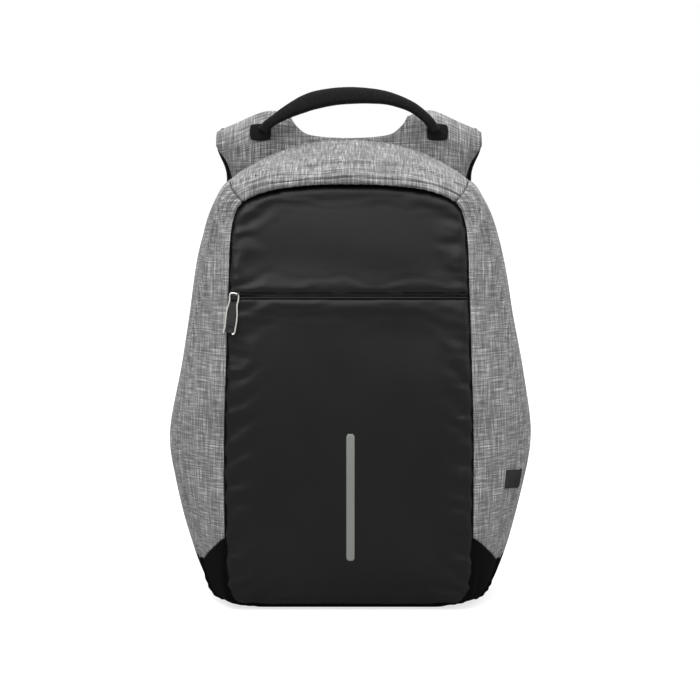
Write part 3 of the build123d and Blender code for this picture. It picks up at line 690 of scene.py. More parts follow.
# ---------------------------------------------------------------- lofts, threads and zips
def loft(name, loops, material, closed_path=False):
    """A tube through closed loops of points, an array of shape (sections, points, 3)."""
    loops = np.asarray(loops, float)
    rows, columns = loops.shape[:2]
    around = arc_lengths(np.concatenate([loops, loops[:, :1]], axis=1), 1).mean(0)
    middle = loops.mean(1)
    along = arc_lengths(np.concatenate([middle, middle[:1]]) if closed_path else middle, 0)
    faces, uvs = [], []
    for i in range(rows if closed_path else rows - 1):
        n = (i + 1) % rows
        for j in range(columns):
            k = (j + 1) % columns
            faces.append((i * columns + j, i * columns + k, n * columns + k, n * columns + j))
            uvs += [(around[j], along[i]), (around[j + 1], along[i]), (around[j + 1], along[i + 1]),
                    (around[j], along[i + 1])]
    if not closed_path:
        for row in (0, rows - 1):
            cap = [row * columns + j for j in range(columns)]
            faces.append(cap[::-1] if row == 0 else cap)
            corners = loops[row] - loops[row].mean(0)
            uvs += [(p[0] + p[1], p[2]) for p in (corners[::-1] if row == 0 else corners)]
    obj = make_object(name, loops.reshape(-1, 3), faces, material)
    layer = obj.data.uv_layers.new(name="weave")
    layer.data.foreach_set("uv", (np.array(uvs, np.float32) * MM).ravel())
    make_outward(obj)
    return obj


def frames_along(path, up):
    """Tangent, side and normal at each point of a path; up is one vector or one for each point."""
    tangent = unit(np.gradient(path, axis=0))
    side = unit(np.cross(tangent, np.broadcast_to(np.asarray(up, float), path.shape)))
    return tangent, side, np.cross(side, tangent)


def tube(name, path, radius, material, sides=8, up=(0, 1, 0.2), closed=False):
    """A round cord or piping along a path."""
    path = np.asarray(path, float)
    if closed:
        padded_path = np.concatenate([path[-1:], path, path[:1]])
        _, side, normal = (part[1:-1] for part in frames_along(padded_path, up))
    else:
        _, side, normal = frames_along(path, up)
    turn = np.linspace(0, math.tau, sides, endpoint=False)[None, :, None]
    loops = path[:, None] + radius * (np.cos(turn) * side[:, None] + np.sin(turn) * normal[:, None])
    return loft(name, loops, material, closed_path=closed)


def resample(path, step):
    """Points at equal steps along a path."""
    path = np.asarray(path, float)
    length = arc_lengths(path, 0)
    count = max(int(round(length[-1] / step)), 2)
    at = np.linspace(0, length[-1], count + 1)
    return np.stack([np.interp(at, length, path[:, k]) for k in range(path.shape[1])], 1)


def smooth_curve(points, count):
    """Catmull-Rom curve through points, with its ends held."""
    points = np.asarray(points, float)
    rows = np.concatenate([2 * points[:1] - points[1:2], points, 2 * points[-1:] - points[-2:-1]])
    t = np.linspace(0, len(points) - 1 - 1e-6, count)
    i = t.astype(int)
    f = (t - i)[:, None]
    return catmull_rom(*(rows[i + k] for k in range(4)), f)


# Outline of a zip tooth: reach across, rise and thickness along, in shares of the zip's sizes.
TOOTH = ((-0.30, 0.0, 0.8), (-0.22, 0.85, 1.0), (0.28, 1.0, 1.0), (0.52, 0.5, 0.7), (0.50, 0.0, 0.5))


def zip_coil(name, path, normal, body, width, pitch=2.2):
    """Nylon zip: a row of rounded teeth that alternate from side to side, standing on a tape."""
    path = resample(path, pitch / 2)
    up = np.asarray(normal, float)
    if up.ndim == 2:
        up = np.stack([np.interp(np.linspace(0, 1, len(path)), np.linspace(0, 1, len(up)), up[:, k])
                       for k in range(3)], 1)
    tangent, side, high = frames_along(path, up)
    vertices, faces = [], []
    for i, centre in enumerate(path):
        sign = 1 if i % 2 else -1
        start = len(vertices)
        for reach, rise, wide in TOOTH:
            for s in (-1, 1):
                vertices.append(centre + side[i] * sign * reach * width * 0.5 + high[i] * rise * 1.1
                                + tangent[i] * s * wide * pitch * 0.22)
        for k in range(4):
            a = start + 2 * k
            faces.append((a, a + 1, a + 3, a + 2))
        faces.append((start, start + 8, start + 9, start + 1))
        faces.append(tuple(start + 2 * k for k in range(5)))
        faces.append(tuple(start + 2 * k + 1 for k in range(4, -1, -1)))
    obj = make_object(name, vertices, faces, COIL, smooth=False)
    make_outward(obj)
    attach(obj, body)
    return obj


# A stitch's sections: place along it, thickness and rise; and the corners of each section.
STITCH_SECTIONS = ((0.0, 0.3, -0.1), (0.2, 1.0, 0.15), (0.8, 1.0, 0.15), (1.0, 0.3, -0.1))
STITCH_CORNERS = ((1, 0), (0.4, 0.9), (-0.4, 0.9), (-1, 0), (0, -0.6))


def stitches(name, rows, body, material, length, gap, radius, blend=None):
    """Lines of stitches lying on a surface. rows holds (path, normals) pairs, in millimetres."""
    vertices, faces = [], []
    for path, normals in rows:
        points = resample(np.concatenate([path, np.broadcast_to(normals, path.shape)], 1), (length + gap) / 2)
        for i in range(0, len(points) - 1, 2):
            a, b = points[i, :3], points[i + 1, :3]
            high, along = unit(points[i, 3:]), unit(b - a)
            side = np.cross(along, high)
            b = a + along * length
            start = len(vertices)
            for share, swell, rise in STITCH_SECTIONS:
                centre = a + (b - a) * share + high * rise
                for x, y in STITCH_CORNERS:
                    vertices.append(centre + radius * swell * (x * side + y * high))
            for k in range(3):
                for j in range(5):
                    p, q = start + 5 * k + j, start + 5 * k + (j + 1) % 5
                    faces.append((p, q, q + 5, p + 5))
            faces.append(tuple(range(start + 4, start - 1, -1)))
            faces.append(tuple(range(start + 15, start + 20)))
    obj = make_object(name, vertices, faces, material)
    make_outward(obj)
    if blend:
        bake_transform(obj)
    else:
        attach(obj, body)
    return obj


def on_wall(u, v, lift=0.0):
    """Points on the wall, moved outwards by lift, and its normals there."""
    u, v = np.broadcast_arrays(np.asarray(u, float), np.asarray(v, float))
    normal = wall_normal(u, v)
    return wall(u, v) + normal * lift, normal


def on_front(x, z, lift, edge=60.0):
    """Points on the coated front cloth, moved outwards by lift; edge is their distance from a seam."""
    flat = np.stack(np.broadcast_arrays(np.asarray(x, float), np.asarray(z, float)), -1)
    relief = front_relief(flat, np.full(len(flat), edge))
    return np.stack([flat[:, 0], front_y(flat[:, 1]) - relief - lift, flat[:, 1]], 1)


# ---------------------------------------------------------------- main zip and details of the front shell
ZIP_FOOT = 3.5     # u at which the main zip starts and ends
zip_u = np.linspace(ZIP_FOOT, FULL_TURN - ZIP_FOOT, 260)
tape_points = on_wall(zip_u[:, None], np.linspace(0.945, 0.993, 7)[None, :], -1.0)[0]
tape_uv = grid_uv(arc_lengths(tape_points, 1), arc_lengths(tape_points[:, [3]], 0))
shell_tape = sheet_solid("main_zip_tape_front", tape_points, tape_uv, TAPE_CLOTH, 0.7)
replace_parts(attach(shell_tape, "front_shell"), "shell_zip_tape")
coil_path, coil_normal = on_wall(zip_u, 0.989, -0.9)
shell_coil = zip_coil("main_zip_teeth_front", coil_path, coil_normal, "front_shell", 2.6)
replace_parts(shell_coil, "shell_zip_coil")

# Reflective strip: rounded ends, thin edges.
STRIP_X, STRIP_HALF, STRIP_COLUMNS = 1.4, 3.8, 9
strip_rows = []
for z in np.linspace(48.0, 166.0, 90):
    half = STRIP_HALF * min(1.0, math.sqrt(max(0.0, 1 - max(0, abs(z - 107) - 55.8) ** 2 / 14.5)))
    strip_rows.append([(STRIP_X + x, z) for x in np.linspace(-half, half, STRIP_COLUMNS)])
strip_flat = np.array(strip_rows)
strip_points = on_front(*strip_flat.reshape(-1, 2).T, 0.6).reshape(-1, STRIP_COLUMNS, 3)
strip_points[..., 1] += 0.28 * np.abs(np.linspace(-1, 1, STRIP_COLUMNS)) ** 6
strip = sheet_solid("reflective_band", strip_points, strip_flat * MM, REFLECTIVE, 0.5)
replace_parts(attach(strip, "front_shell"), "reflective_strip")

FRONT_NORMAL = np.array([0, -1, 0.17])
teeth_y = front_y(np.array([FRONT_ZIP_Z]))[0] + 2.8
front_zip_path = [(x, teeth_y, FRONT_ZIP_Z) for x in np.linspace(-107.5, 107.5, 80)]
front_teeth = zip_coil("front_zip_teeth", front_zip_path, FRONT_NORMAL, "front_shell", 3.0)
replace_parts(front_teeth, "front_zip_coil")

# Folded edges of the cloth above and below the front zip, and their stitching.
for name, z, lift, radius in (("upper", ZIP_TOP + 0.3, -1.0, 0.5), ("lower", ZIP_FLOOR - 0.3, -0.4, 0.85)):
    lip = on_front(np.linspace(-108.5, 108.5, 120), z, lift, 12.0)
    piece = tube("front_zip_lip_" + name, lip, radius, COATED, 8, (0, -1, 0))
    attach(piece, "front_shell")
sewn = [(on_front(np.linspace(-104, 104, 150), z, 0.1, 14.0), FRONT_NORMAL)
        for z in (ZIP_TOP + 3.6, ZIP_FLOOR - 3.6)]
stitches("front_zip_stitches", sewn, "front_shell", THREAD_BLACK, 2.6, 1.2, 0.2)

# Tapes of the front zip, behind the edges of the cloth.
for name, low, high in (("upper", ZIP_TOP, FRONT_ZIP_Z + 12.5), ("lower", FRONT_ZIP_Z - 12.5, ZIP_FLOOR)):
    tape_x, tape_z = np.meshgrid(np.linspace(-104, 104, 60), np.linspace(low, high, 7), indexing="ij")
    tape_grid = np.stack([tape_x, front_y(tape_z) + 3.6, tape_z], -1)
    piece = sheet_solid("front_zip_tape_" + name, tape_grid, grid_uv(tape_x, tape_z), TAPE_CLOTH, 0.6,
                        inward=np.array([0.0, -1.0, 0.0]))
    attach(piece, "front_shell")
    if name == "upper":
        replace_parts(piece, "front_zip_tape")

# A black cord sunk into the front seam, not a binding: it closes the gap where the front cloth meets the sides,
# and its dark line is painted shade of the seam.
seam_path = on_wall(np.linspace(0, FULL_TURN, 420, endpoint=False), SEAM_V, -2.4)[0]
# Painted shade: the black cord shows as the dark shadow line of the seam.
seam_shade_cord = tube("front_seam_shade_cord", seam_path, 1.5, BASE_CLOTH, 8, (0, 1, 0), closed=True)
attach(seam_shade_cord, "front_shell")

# Topstitching beside the piped fold on the sides and the top.
fold_u = np.linspace(5.1, FULL_TURN - 5.1, 400)
stitches("fold_stitches_rear", [on_wall(fold_u, welt_v(fold_u) + 0.035, -0.25)], "front_shell",
         THREAD_GREY, 2.8, 1.6, 0.3)


# ---------------------------------------------------------------- back panel
HINGE_CLEAR_Z = 9.0
RIM_BASE_Z = 50.0     # the rim is black below this height
PIPE_Y = 52.3
COVER_Y = (52.2, 50.9)
# Section of the rim: distance outwards from the rear outline, and y.
RIM_PROFILE = [(0.0, 44.0), (0.25, 45.2), (0.75, 47.2), (0.8, 49.2), (0.35, 51.0), (-0.4, 51.9), (-2.2, 52.0),
               (-2.4, 48.0), (-2.2, 44.2)]


def rear_ring_points(inset, count=300):
    """The rear outline moved inwards, and its outward directions."""
    return inset_outline(np.linspace(0, FULL_TURN, count, endpoint=False), 2, inset)


def panel_shape(inset, foot, spacing, count=300):
    """The rear outline moved inwards and cut off above the hinge: its ring, points, faces and border."""
    ring = rear_ring_points(inset, count)[0]
    ring[:, 1] = np.maximum(ring[:, 1], foot)
    return ring, *fill_outline(ring, spacing)


rim_flat, rim_out = rear_ring_points(0)
rim_loops = []
for (x, z), (ox, oz) in zip(rim_flat, rim_out):
    # The foot of the rim is bevelled, so that it clears the hinge as the panel opens.
    rim_loops.append([(x + ox * d, y, max(max(z, HINGE_CLEAR_Z) + oz * d,
                                          HINGE_CLEAR_Z - 0.6 + (y - 44) * 1.7 * (z < 12)))
                      for d, y in RIM_PROFILE])
grey_rows = np.nonzero(rim_flat[:, 1] > RIM_BASE_Z)[0]
first, last = grey_rows[0], grey_rows[-1]
rim = loft("back_rim_cloth", rim_loops[first:last + 1], MELANGE)
rim_base = loft("back_rim_base_cloth", rim_loops[last:] + rim_loops[:first + 1], BASE_CLOTH)
for piece, slot_name in ((rim, "grey_melange_cloth"), (rim_base, "black_base_cloth")):
    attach(piece, "back_panel")
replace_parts(rim, "back_rim")

pipe_flat = rear_ring_points(0.9)[0]
pipe_path = np.stack([pipe_flat[:, 0], np.full(len(pipe_flat), PIPE_Y),
                      np.maximum(pipe_flat[:, 1], PIPE_Y * 1.732 - 65.4 + 2.0)], 1)
piping = tube("back_piping", pipe_path, 1.5, WEBBING, 8, (0, 1, 0), closed=True)
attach(piping, "back_panel")

back_ring, back_flat, back_faces, back_border = panel_shape(1.0, 27.5, 4.5)
x, z = back_flat[:, 0], back_flat[:, 1]
back_relief = 1.6 * (1 - np.exp(-distance_to(back_flat, back_ring) / 9.0))
back_relief -= 1.1 * hump(np.abs(x), 3.2)
back_relief -= 0.8 * hump(z - 205, 3.0)
back_relief += 0.25 * waves(np.stack([x, 0 * x, z], 1), 31, 60.0)
outer = np.stack([x, COVER_Y[0] + np.clip(back_relief, -0.6, 1.9), z], 1)
inner = np.stack([x, np.full(len(x), COVER_Y[1]), z], 1)
back_cloth = closed_sheet("back_cover_cloth", outer, inner, back_flat * MM, back_faces, [back_border], BASE_CLOTH)
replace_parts(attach(back_cloth, "back_panel"), "back_cover")


def pillow(name, x_range, z_range, y_low, height, corner):
    """A padded block lying on the back panel: rounded outline, crowned top, pinched seam at its foot."""
    (x0, x1), (z0, z1) = x_range, z_range
    columns, rows = 44, 84
    s, t = np.meshgrid(np.linspace(-1, 1, columns), np.linspace(-1, 1, rows))
    half_x, half_z = (x1 - x0) / 2, (z1 - z0) / 2
    px, pz = s * half_x, t * half_z
    over_x, over_z = np.abs(px) - (half_x - corner), np.abs(pz) - (half_z - corner)
    both = (over_x > 0) & (over_z > 0)
    reach = np.maximum(over_x, over_z)
    length = np.hypot(over_x, over_z)
    pull = np.where(both, np.divide(reach, length, out=np.ones_like(length), where=length > 0), 1)
    qx = np.where(both, np.sign(px) * (half_x - corner + over_x * pull), px)
    qz = np.where(both, np.sign(pz) * (half_z - corner + over_z * pull), pz)
    edge = np.minimum((1 - np.abs(s)) * half_x, (1 - np.abs(t)) * half_z)
    top = np.stack([(x0 + x1) / 2 + qx, y_low + 0.6 + (1 - np.exp(-edge / 5.5)) * height, (z0 + z1) / 2 + qz], -1)
    foot = top.copy()
    foot[..., 1] = y_low
    return closed_sheet(name, top, foot, grid_uv(qx, qz), grid_faces(rows, columns), [grid_border(rows, columns)],
                        AIR_MESH)


def points_of(mesh):
    """Vertex positions of a mesh, in metres."""
    points = np.zeros(len(mesh.vertices) * 3)
    mesh.vertices.foreach_get("co", points)
    return points.reshape(-1, 3)


def puff(obj, low_y, voxel=0.004, cap=0.004, pressure=4.0):
    """Inflates a pad with Blender's cloth solver and keeps the result; no point moves by more than cap."""
    scene = bpy.context.scene
    remesh = obj.modifiers.new("voxels", "REMESH")
    remesh.mode, remesh.voxel_size, remesh.use_smooth_shade = "VOXEL", voxel, True
    bpy.context.view_layer.update()
    apply_modifiers(obj)
    before = points_of(obj.data)
    cloth = obj.modifiers.new("cloth", "CLOTH")
    cloth.settings.use_pressure = True
    cloth.settings.uniform_pressure_force = pressure
    cloth.settings.effector_weights.gravity = 0
    cloth.settings.quality = 5
    cloth.point_cache.frame_start, cloth.point_cache.frame_end = 1, 20
    for frame_number in range(1, 21):
        scene.frame_set(frame_number)
    move = points_of(obj.evaluated_get(bpy.context.evaluated_depsgraph_get()).data) - before
    obj.modifiers.remove(cloth)
    scene.frame_set(1)
    move *= np.minimum(1, cap / np.maximum(np.linalg.norm(move, axis=1, keepdims=True), 1e-9))
    result = before + move
    result[:, 1] = np.maximum(result[:, 1], low_y * MM)
    obj.data.vertices.foreach_set("co", result.ravel())
    obj.data.update()
    smooth = obj.modifiers.new("smooth", "SUBSURF")
    smooth.levels = smooth.render_levels = 1
    apply_modifiers(obj)
    return obj


def apply_modifiers(obj):
    """Keeps what an object's modifiers make of its mesh."""
    evaluated = obj.evaluated_get(bpy.context.evaluated_depsgraph_get())
    mesh = bpy.data.meshes.new_from_object(evaluated)
    obj.modifiers.clear()
    old, obj.data = obj.data, mesh
    bpy.data.meshes.remove(old)


def box_uv(obj):
    """UVs in metres from position, by the direction each face looks in."""
    data = obj.data
    layer = data.uv_layers.get("weave") or data.uv_layers.new(name="weave")
    points = points_of(data)
    uv = np.zeros((len(data.loops), 2), np.float32)
    for polygon in data.polygons:
        nx, ny, nz = (abs(c) for c in polygon.normal)
        axes = (1, 2) if nx > max(ny, nz) else ((0, 2) if ny >= nz else (0, 1))
        for loop in polygon.loop_indices:
            uv[loop] = points[data.loops[loop].vertex_index][list(axes)]
    layer.data.foreach_set("uv", uv.ravel())


pad_right = puff(pillow("back_pad_cloth_right", (14, 98), (217, 383), 54.0, 6.2, 17), 53.6)
box_uv(pad_right)
pad_left = new_object("back_pad_cloth_left", pad_right.data.copy())
pad_left.data.vertices.foreach_set("co", (points_of(pad_left.data) * np.array([-1, 1, 1])).ravel())
pad_left.data.flip_normals()
pad_left.data.update()
for pad, node in ((pad_right, "back_pad_right"), (pad_left, "back_pad_left")):
    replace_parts(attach(pad, "back_panel"), node)
for side, tag in ((1, "right"), (-1, "left")):
    edge = []
    for a in np.linspace(0, math.tau, 120, endpoint=False):
        c, s = math.cos(a), math.sin(a)
        px, pz = 43 * np.sign(c) * abs(c) ** 0.45, 84 * np.sign(s) * abs(s) ** 0.28
        edge.append((side * 56 + px, 54.4, 300 + pz))
    piece = tube("back_pad_piping_" + tag, edge, 1.2, WEBBING, 8, (0, 1, 0), True)
    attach(piece, "back_panel")

# ---------------------------------------------------------------- yoke
CREST_Y, CREST_Z, CREST_R, YOKE_FOOT = 76.0, 446.0, 16.6, 396.0
YOKE_SWEEP = math.radians(165.6)
YOKE_RUNS = (CREST_Z - YOKE_FOOT, CREST_R * YOKE_SWEEP, 11.0)
NECK = [(-62, 480), (-58, 462), (-50, 450), (-36, 442.5), (0, 440), (36, 442.5), (50, 450), (58, 462), (62, 480)]
YOKE_SIDE = [(112, 390), (120, 418), (131, 448), (131, 480)]


def yoke_profile(s):
    """Middle line of the yoke's padding (y, z) and its outward direction, at a distance s from its foot."""
    rise, bend, drop = YOKE_RUNS
    angle = np.clip((s - rise) / bend, 0, 1) * YOKE_SWEEP
    y = CREST_Y - CREST_R * np.cos(angle)
    z = np.where(s < rise, YOKE_FOOT + s, CREST_Z + CREST_R * np.sin(angle))
    past = np.maximum(s - rise - bend, 0)
    y = y + past * math.sin(YOKE_SWEEP)
    z = z + past * math.cos(YOKE_SWEEP)
    return y, z, -np.cos(angle), np.sin(angle)


def yoke_outline():
    """Flat outline of the yoke in (x, s), with its neck cut out."""
    end = sum(YOKE_RUNS)
    side_x, side_z = np.array(YOKE_SIDE, float).T
    neck = smooth_curve(NECK, 60)
    neck = neck[neck[:, 1] < CREST_Z + CREST_R]
    front = [(x, z - YOKE_FOOT if z < CREST_Z
              else YOKE_RUNS[0] + CREST_R * math.asin(min((z - CREST_Z) / CREST_R, 1))) for x, z in neck]
    right = [(float(np.interp(YOKE_FOOT + s, side_z, side_x)), s) for s in np.arange(4, 60, 4.0)]
    right += [(131.0, s) for s in np.arange(60, end - 1, 4.0)] + [(131.0, end)]
    inner = [(57.0 + 5.0 * smoothstep(end - s, 0, 30), s) for s in np.arange(end, front[-1][1] + 3, -4.0)]
    foot = [(x, 4.0) for x in np.arange(-106, 110, 4.0)]
    seam = [(x, end) for x in np.arange(127, 60, -4.0)]
    half = right + seam + inner + front[::-1][: len(front) // 2 + 1]
    mirror = [(-x, s) for x, s in reversed(half)]
    ring = foot + half + mirror[1:]
    clean = [ring[0]]
    for p in ring[1:]:
        if math.dist(p, clean[-1]) > 1.0:
            clean.append(p)
    return clean


def yoke_surface(flat, depth, edge_distance):
    """Maps flat yoke points to space; depth is signed distance from the middle of the padding."""
    x, s = flat[:, 0], flat[:, 1]
    y, z, ny, nz = yoke_profile(s)
    drop = 17.0 * smoothstep(np.abs(x), 74, 130) * smoothstep(s, 10, 60) * (1 - smoothstep(s, 78, 106))
    full = 6.0 * (1 - np.exp(-(edge_distance + 1.2) / 7.0))
    seam_open = smoothstep(s, sum(YOKE_RUNS) - 14, sum(YOKE_RUNS))
    full = full * (1 - seam_open) + np.maximum(full, 4.6) * seam_open
    offset = depth * full
    return np.stack([x, y + ny * offset, z - drop + nz * offset], 1)


yoke_ring = yoke_outline()
yoke_flat, yoke_faces, yoke_border = fill_outline(yoke_ring, 3.6)
yoke_edge = distance_to(yoke_flat, np.array(yoke_ring))
yoke_bump = 0.5 * waves(np.stack([yoke_flat[:, 0], 0 * yoke_edge, yoke_flat[:, 1]], 1), 17, 50.0)
yoke_bump *= smoothstep(yoke_edge, 2, 12)
stitch_groove = 0.7 * hump(yoke_edge - 5.5, 1.6)
yoke_top = yoke_surface(yoke_flat, 1.0 + (yoke_bump - stitch_groove) / 6.0, yoke_edge)
yoke_low = yoke_surface(yoke_flat, -1.0, yoke_edge)
yoke = closed_sheet("yoke_cloth", yoke_top, yoke_low, yoke_flat * MM, yoke_faces, [yoke_border], MELANGE)
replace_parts(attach(yoke, "back_panel"), "yoke")

# ---------------------------------------------------------------- shoulder straps
# Middle line of a strap from the yoke down to its buckle: x, y, z and width.
STRAP_PATH = [(94, 93.4, 444, 60), (94, 95.2, 438, 74), (91, 102.5, 405, 61), (95, 106.2, 345, 60),
              (101, 102.5, 270, 59), (106.5, 92, 200, 54), (110, 82.5, 153, 48)]
PAD_GROOVE = 0.84     # where the pad's topstitching lies, as a share of its half width
strap_line = smooth_curve(STRAP_PATH, 110)


def strap_loops(side, section):
    """Loops of a strap layer; section gives (across share, depth) points, depth away from the bag."""
    path = strap_line[:, :3].copy()
    tangent = unit(np.gradient(path, axis=0))
    across = unit(np.array([1.0, 0, 0]) - tangent * tangent[:, :1])
    outward = np.cross(across, tangent)
    outward *= np.sign(outward[:, 1:2])
    loops = []
    for i in range(len(path)):
        close = min((len(path) - 1 - i) / 5.0, 1.0)
        half = strap_line[i, 3] / 2 * (0.80 + 0.20 * math.sqrt(close))
        loops.append([path[i] + across[i] * half * share + outward[i] * depth * (0.75 + 0.25 * close)
                      for share, depth in section])
    return np.array(loops) * np.array([side, 1, 1])


def arc_section(y_edge, y_top):
    """The crowned top of a strap pad, with the grooves of its topstitching."""
    top = [(-math.cos(a), y_edge + (y_top - y_edge) * math.sin(a) ** (2 / 3.2))
           for a in np.linspace(0, math.pi, 22)]
    return [(x, y - 0.7 * math.exp(-((abs(x) - PAD_GROOVE) / 0.035) ** 2)) for x, y in top]


PAD_SECTION = arc_section(-2.6, 6.0) + [(x, -2.9) for x in np.linspace(0.97, -0.97, 12)]
MESH_SECTION = ([(x, -3.0) for x in np.linspace(-0.97, 0.97, 12)]
                + [(-x, -3.0 - 3.0 * (1 - abs(x) ** 4)) for x in np.linspace(-0.985, 0.985, 16)])
for side, tag in ((1, "right"), (-1, "left")):
    body = tag + "_strap"
    pad = loft("strap_cloth_" + tag, strap_loops(side, PAD_SECTION), MELANGE)
    mesh = loft("strap_air_mesh_" + tag, strap_loops(side, MESH_SECTION), AIR_MESH)
    edges = strap_loops(side, [(-1.0, -2.8), (1.0, -2.8)])
    start = np.array([side * 94, 95.2, 438]) * MM
    end = np.array([side * 92.5, 103.5, 385]) * MM
    blend = ("back_panel", body, tuple(start), tuple(end))
    for piece, node, slot_name in ((pad, "strap_pad_" + tag, "grey_melange_cloth"),
                                   (mesh, "strap_mesh_" + tag, "air_mesh")):
        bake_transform(piece)
        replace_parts(piece, node)
    for k, edge_tag in ((0, "inner"), (1, "outer")):
        cord = tube(f"strap_binding_{edge_tag}_{tag}", edges[:, k], 1.7, WEBBING, 8, (0, 1, 0))
        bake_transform(cord)
    sewn = strap_loops(side, [(-PAD_GROOVE, 5.1), (PAD_GROOVE, 5.1)])
    rows = [(sewn[:, k], np.array([0, 1.0, 0.1])) for k in (0, 1)]
    stitches("strap_stitches_" + tag, rows, body, THREAD_GREY, 2.8, 1.7, 0.32, blend=blend)

# ---------------------------------------------------------------- carry handle
# Middle line of the handle (x, z), and half its thickness at places across.
HANDLE_LINE = [(-85, 446.5), (-81, 451), (-73, 457), (-60, 464.8), (-45, 472), (-33, 476.2), (-15, 479.6),
               (3, 480.8), (22, 480.2), (40, 477.6), (60, 470.2), (73, 461), (81, 452.5), (85, 446.5)]
HANDLE_HALVES = [(-85, 4.6), (-72, 4.8), (-60, 6.2), (-45, 8.0), (-33, 8.6), (3, 8.0), (25, 7.0), (40, 6.0),
                 (60, 4.9), (72, 4.6), (85, 4.6)]


def handle_loops():
    """Sections of the carry handle: a folded webbing tube that flattens into the sewn tabs."""
    width_x, width_half = np.array(HANDLE_HALVES, float).T
    path = resample(smooth_curve(HANDLE_LINE, 300), 0.55)
    along = arc_lengths(path, 0)
    tangent = unit(np.gradient(path, axis=0))
    normal = np.stack([-tangent[:, 1], tangent[:, 0]], 1)
    from_end = np.minimum(along, along[-1] - along)
    loops = []
    for i, (x, z) in enumerate(path):
        body = smoothstep(from_end[i], 4, 36)
        thick = float(np.interp(x, width_x, width_half))
        deep = 5.6 + 1.3 * body
        y_middle = 43.2 + 2.4 * (1 - smoothstep(from_end[i], 0, 16))
        loop = []
        for a in np.linspace(0, math.tau, 30, endpoint=False):
            c, s = math.cos(a), math.sin(a)
            py = math.copysign(abs(c) ** 0.62, c) * deep
            pn = math.copysign(abs(s) ** 0.62, s) * thick
            rib = 0.22 * math.sin(along[i] * math.tau / 2.3 + 9 * c * (1 if s > 0 else -1))
            rib += 0.25 * math.sin(4 * a + 0.5) * body
            scale = 1 + rib / max(thick, 1)
            loop.append((x + normal[i, 0] * pn * scale, y_middle + py * scale, z + normal[i, 1] * pn * scale))
        loops.append(loop)
    return loops


grip = loft("handle_webbing", handle_loops(), WEBBING)
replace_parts(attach(grip, "carry_handle"), "handle_grip")


def with_twin(faces, border, size):
    """Faces and borders of a shape and of its twin, whose points follow its own."""
    return faces + [tuple(i + size for i in face) for face in faces], [border, [i + size for i in border]]


# The sewn tabs at the handle's ends: a rounded patch with a thick edge and a stitched cross.
TAB_HALF_X, TAB_HALF_Z = 11, 9.5
grid_x, grid_z = np.meshgrid(np.linspace(-TAB_HALF_X, TAB_HALF_X, 23), np.linspace(0, 2 * TAB_HALF_Z, 20))
from_middle = grid_z - TAB_HALF_Z
corner_pull = 1 - 0.13 * np.abs(grid_x / TAB_HALF_X) ** 2 * np.abs(from_middle / TAB_HALF_Z) ** 2
edge = np.minimum(TAB_HALF_X - np.abs(grid_x), TAB_HALF_Z - np.abs(from_middle))
cross = np.minimum(np.abs(grid_x * 0.8 - from_middle), np.abs(grid_x * 0.8 + from_middle))
y = 50.75 + 1.2 * np.exp(-edge / 1.0) + 0.5 * np.exp(-((edge - 2.6) / 0.5) ** 2)
y = y + 0.4 * np.exp(-(cross / 0.55) ** 2) * (edge > 2.6)
y = y - 0.15 * np.sin(grid_z * math.tau / 1.9)
tab_z = 436 + (TAB_HALF_Z + from_middle * 0.86 * corner_pull)
front = np.concatenate([np.stack([side * 87 + grid_x * 0.95 * corner_pull, np.clip(y, 50.65, 53.2), tab_z],
                                 -1).reshape(-1, 3) for side in (1, -1)])
back = front.copy()
back[:, 1] = 53.3
tab_faces, tab_borders = with_twin(grid_faces(*grid_x.shape), grid_border(*grid_x.shape), grid_x.size)
handle_patches = closed_sheet("handle_patches", front, back, front[:, [0, 2]] * MM, tab_faces, tab_borders,
                              WEBBING)
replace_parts(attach(handle_patches, "back_panel"), "handle_tabs")


# ---------------------------------------------------------------- flat webbing, trolley strap, anchors
# Section of a webbing: place across and rise, in shares of its width and thickness.
RIBBON_SECTION = [(-0.5, 0.0), (-0.485, 0.5), (-0.3, 0.56), (0, 0.5), (0.3, 0.56), (0.485, 0.5), (0.5, 0.0),
                  (0.485, -0.5), (0, -0.5), (-0.485, -0.5)]


def ribbon(name, path, width, thick, normal, material, body, node=None):
    """A flat strap along a path, with rounded edges and woven ribs."""
    path = resample(path, 1.1)
    _, side, high = frames_along(path, normal)
    loops = []
    for i in range(len(path)):
        swell = 1 + 0.22 * (i % 2)
        loops.append([path[i] + side[i] * sx * width + high[i] * sz * thick * swell for sx, sz in RIBBON_SECTION])
    piece = loft(name, loops, material)
    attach(piece, body)
    if node:
        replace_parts(piece, node)
    return piece


for side, tag in ((1, "right"), (-1, "left")):
    anchor, top = np.array([side * 122.0, 61.5, 66.0]), np.array([side * 110.0, 82.5, 153.0])
    reach = np.linalg.norm(top - anchor)
    rise = unit(top - anchor)
    across = unit(np.array([1.0, 0, 0]) - rise * rise[0])
    outward = np.cross(across, rise)
    outward *= np.sign(outward[1])
    t = np.linspace(1.2, reach - 8.0, 40)[:, None]
    lines = anchor + rise * t + outward * (-3.6 + 2.2 * smoothstep(t, reach - 28, reach - 12))
    ribbon("lower_webbing_" + tag, lines, 25.0, 1.5, outward, WEBBING, tag + "_strap",
           "strap_webbing_" + tag)
    t = np.linspace(-11, 9, 12)[:, None]
    loop_line = top + rise * t + outward * (2.6 + np.sin(t / 9))
    ribbon("buckle_loop_" + tag, loop_line, 24.0, 1.5, outward, WEBBING, tag + "_strap")

trolley_x = np.linspace(-112, 112, 200)
trolley = np.stack([trolley_x, 54.6 + 5.4 * smoothstep(112.0 - np.abs(trolley_x), 2, 14), np.full(200, 175.0)], 1)
band = ribbon("trolley_band", trolley, 50.0, 1.3, (0, 1, 0), WEBBING, "back_panel", "trolley_strap")
as_sheet(band)

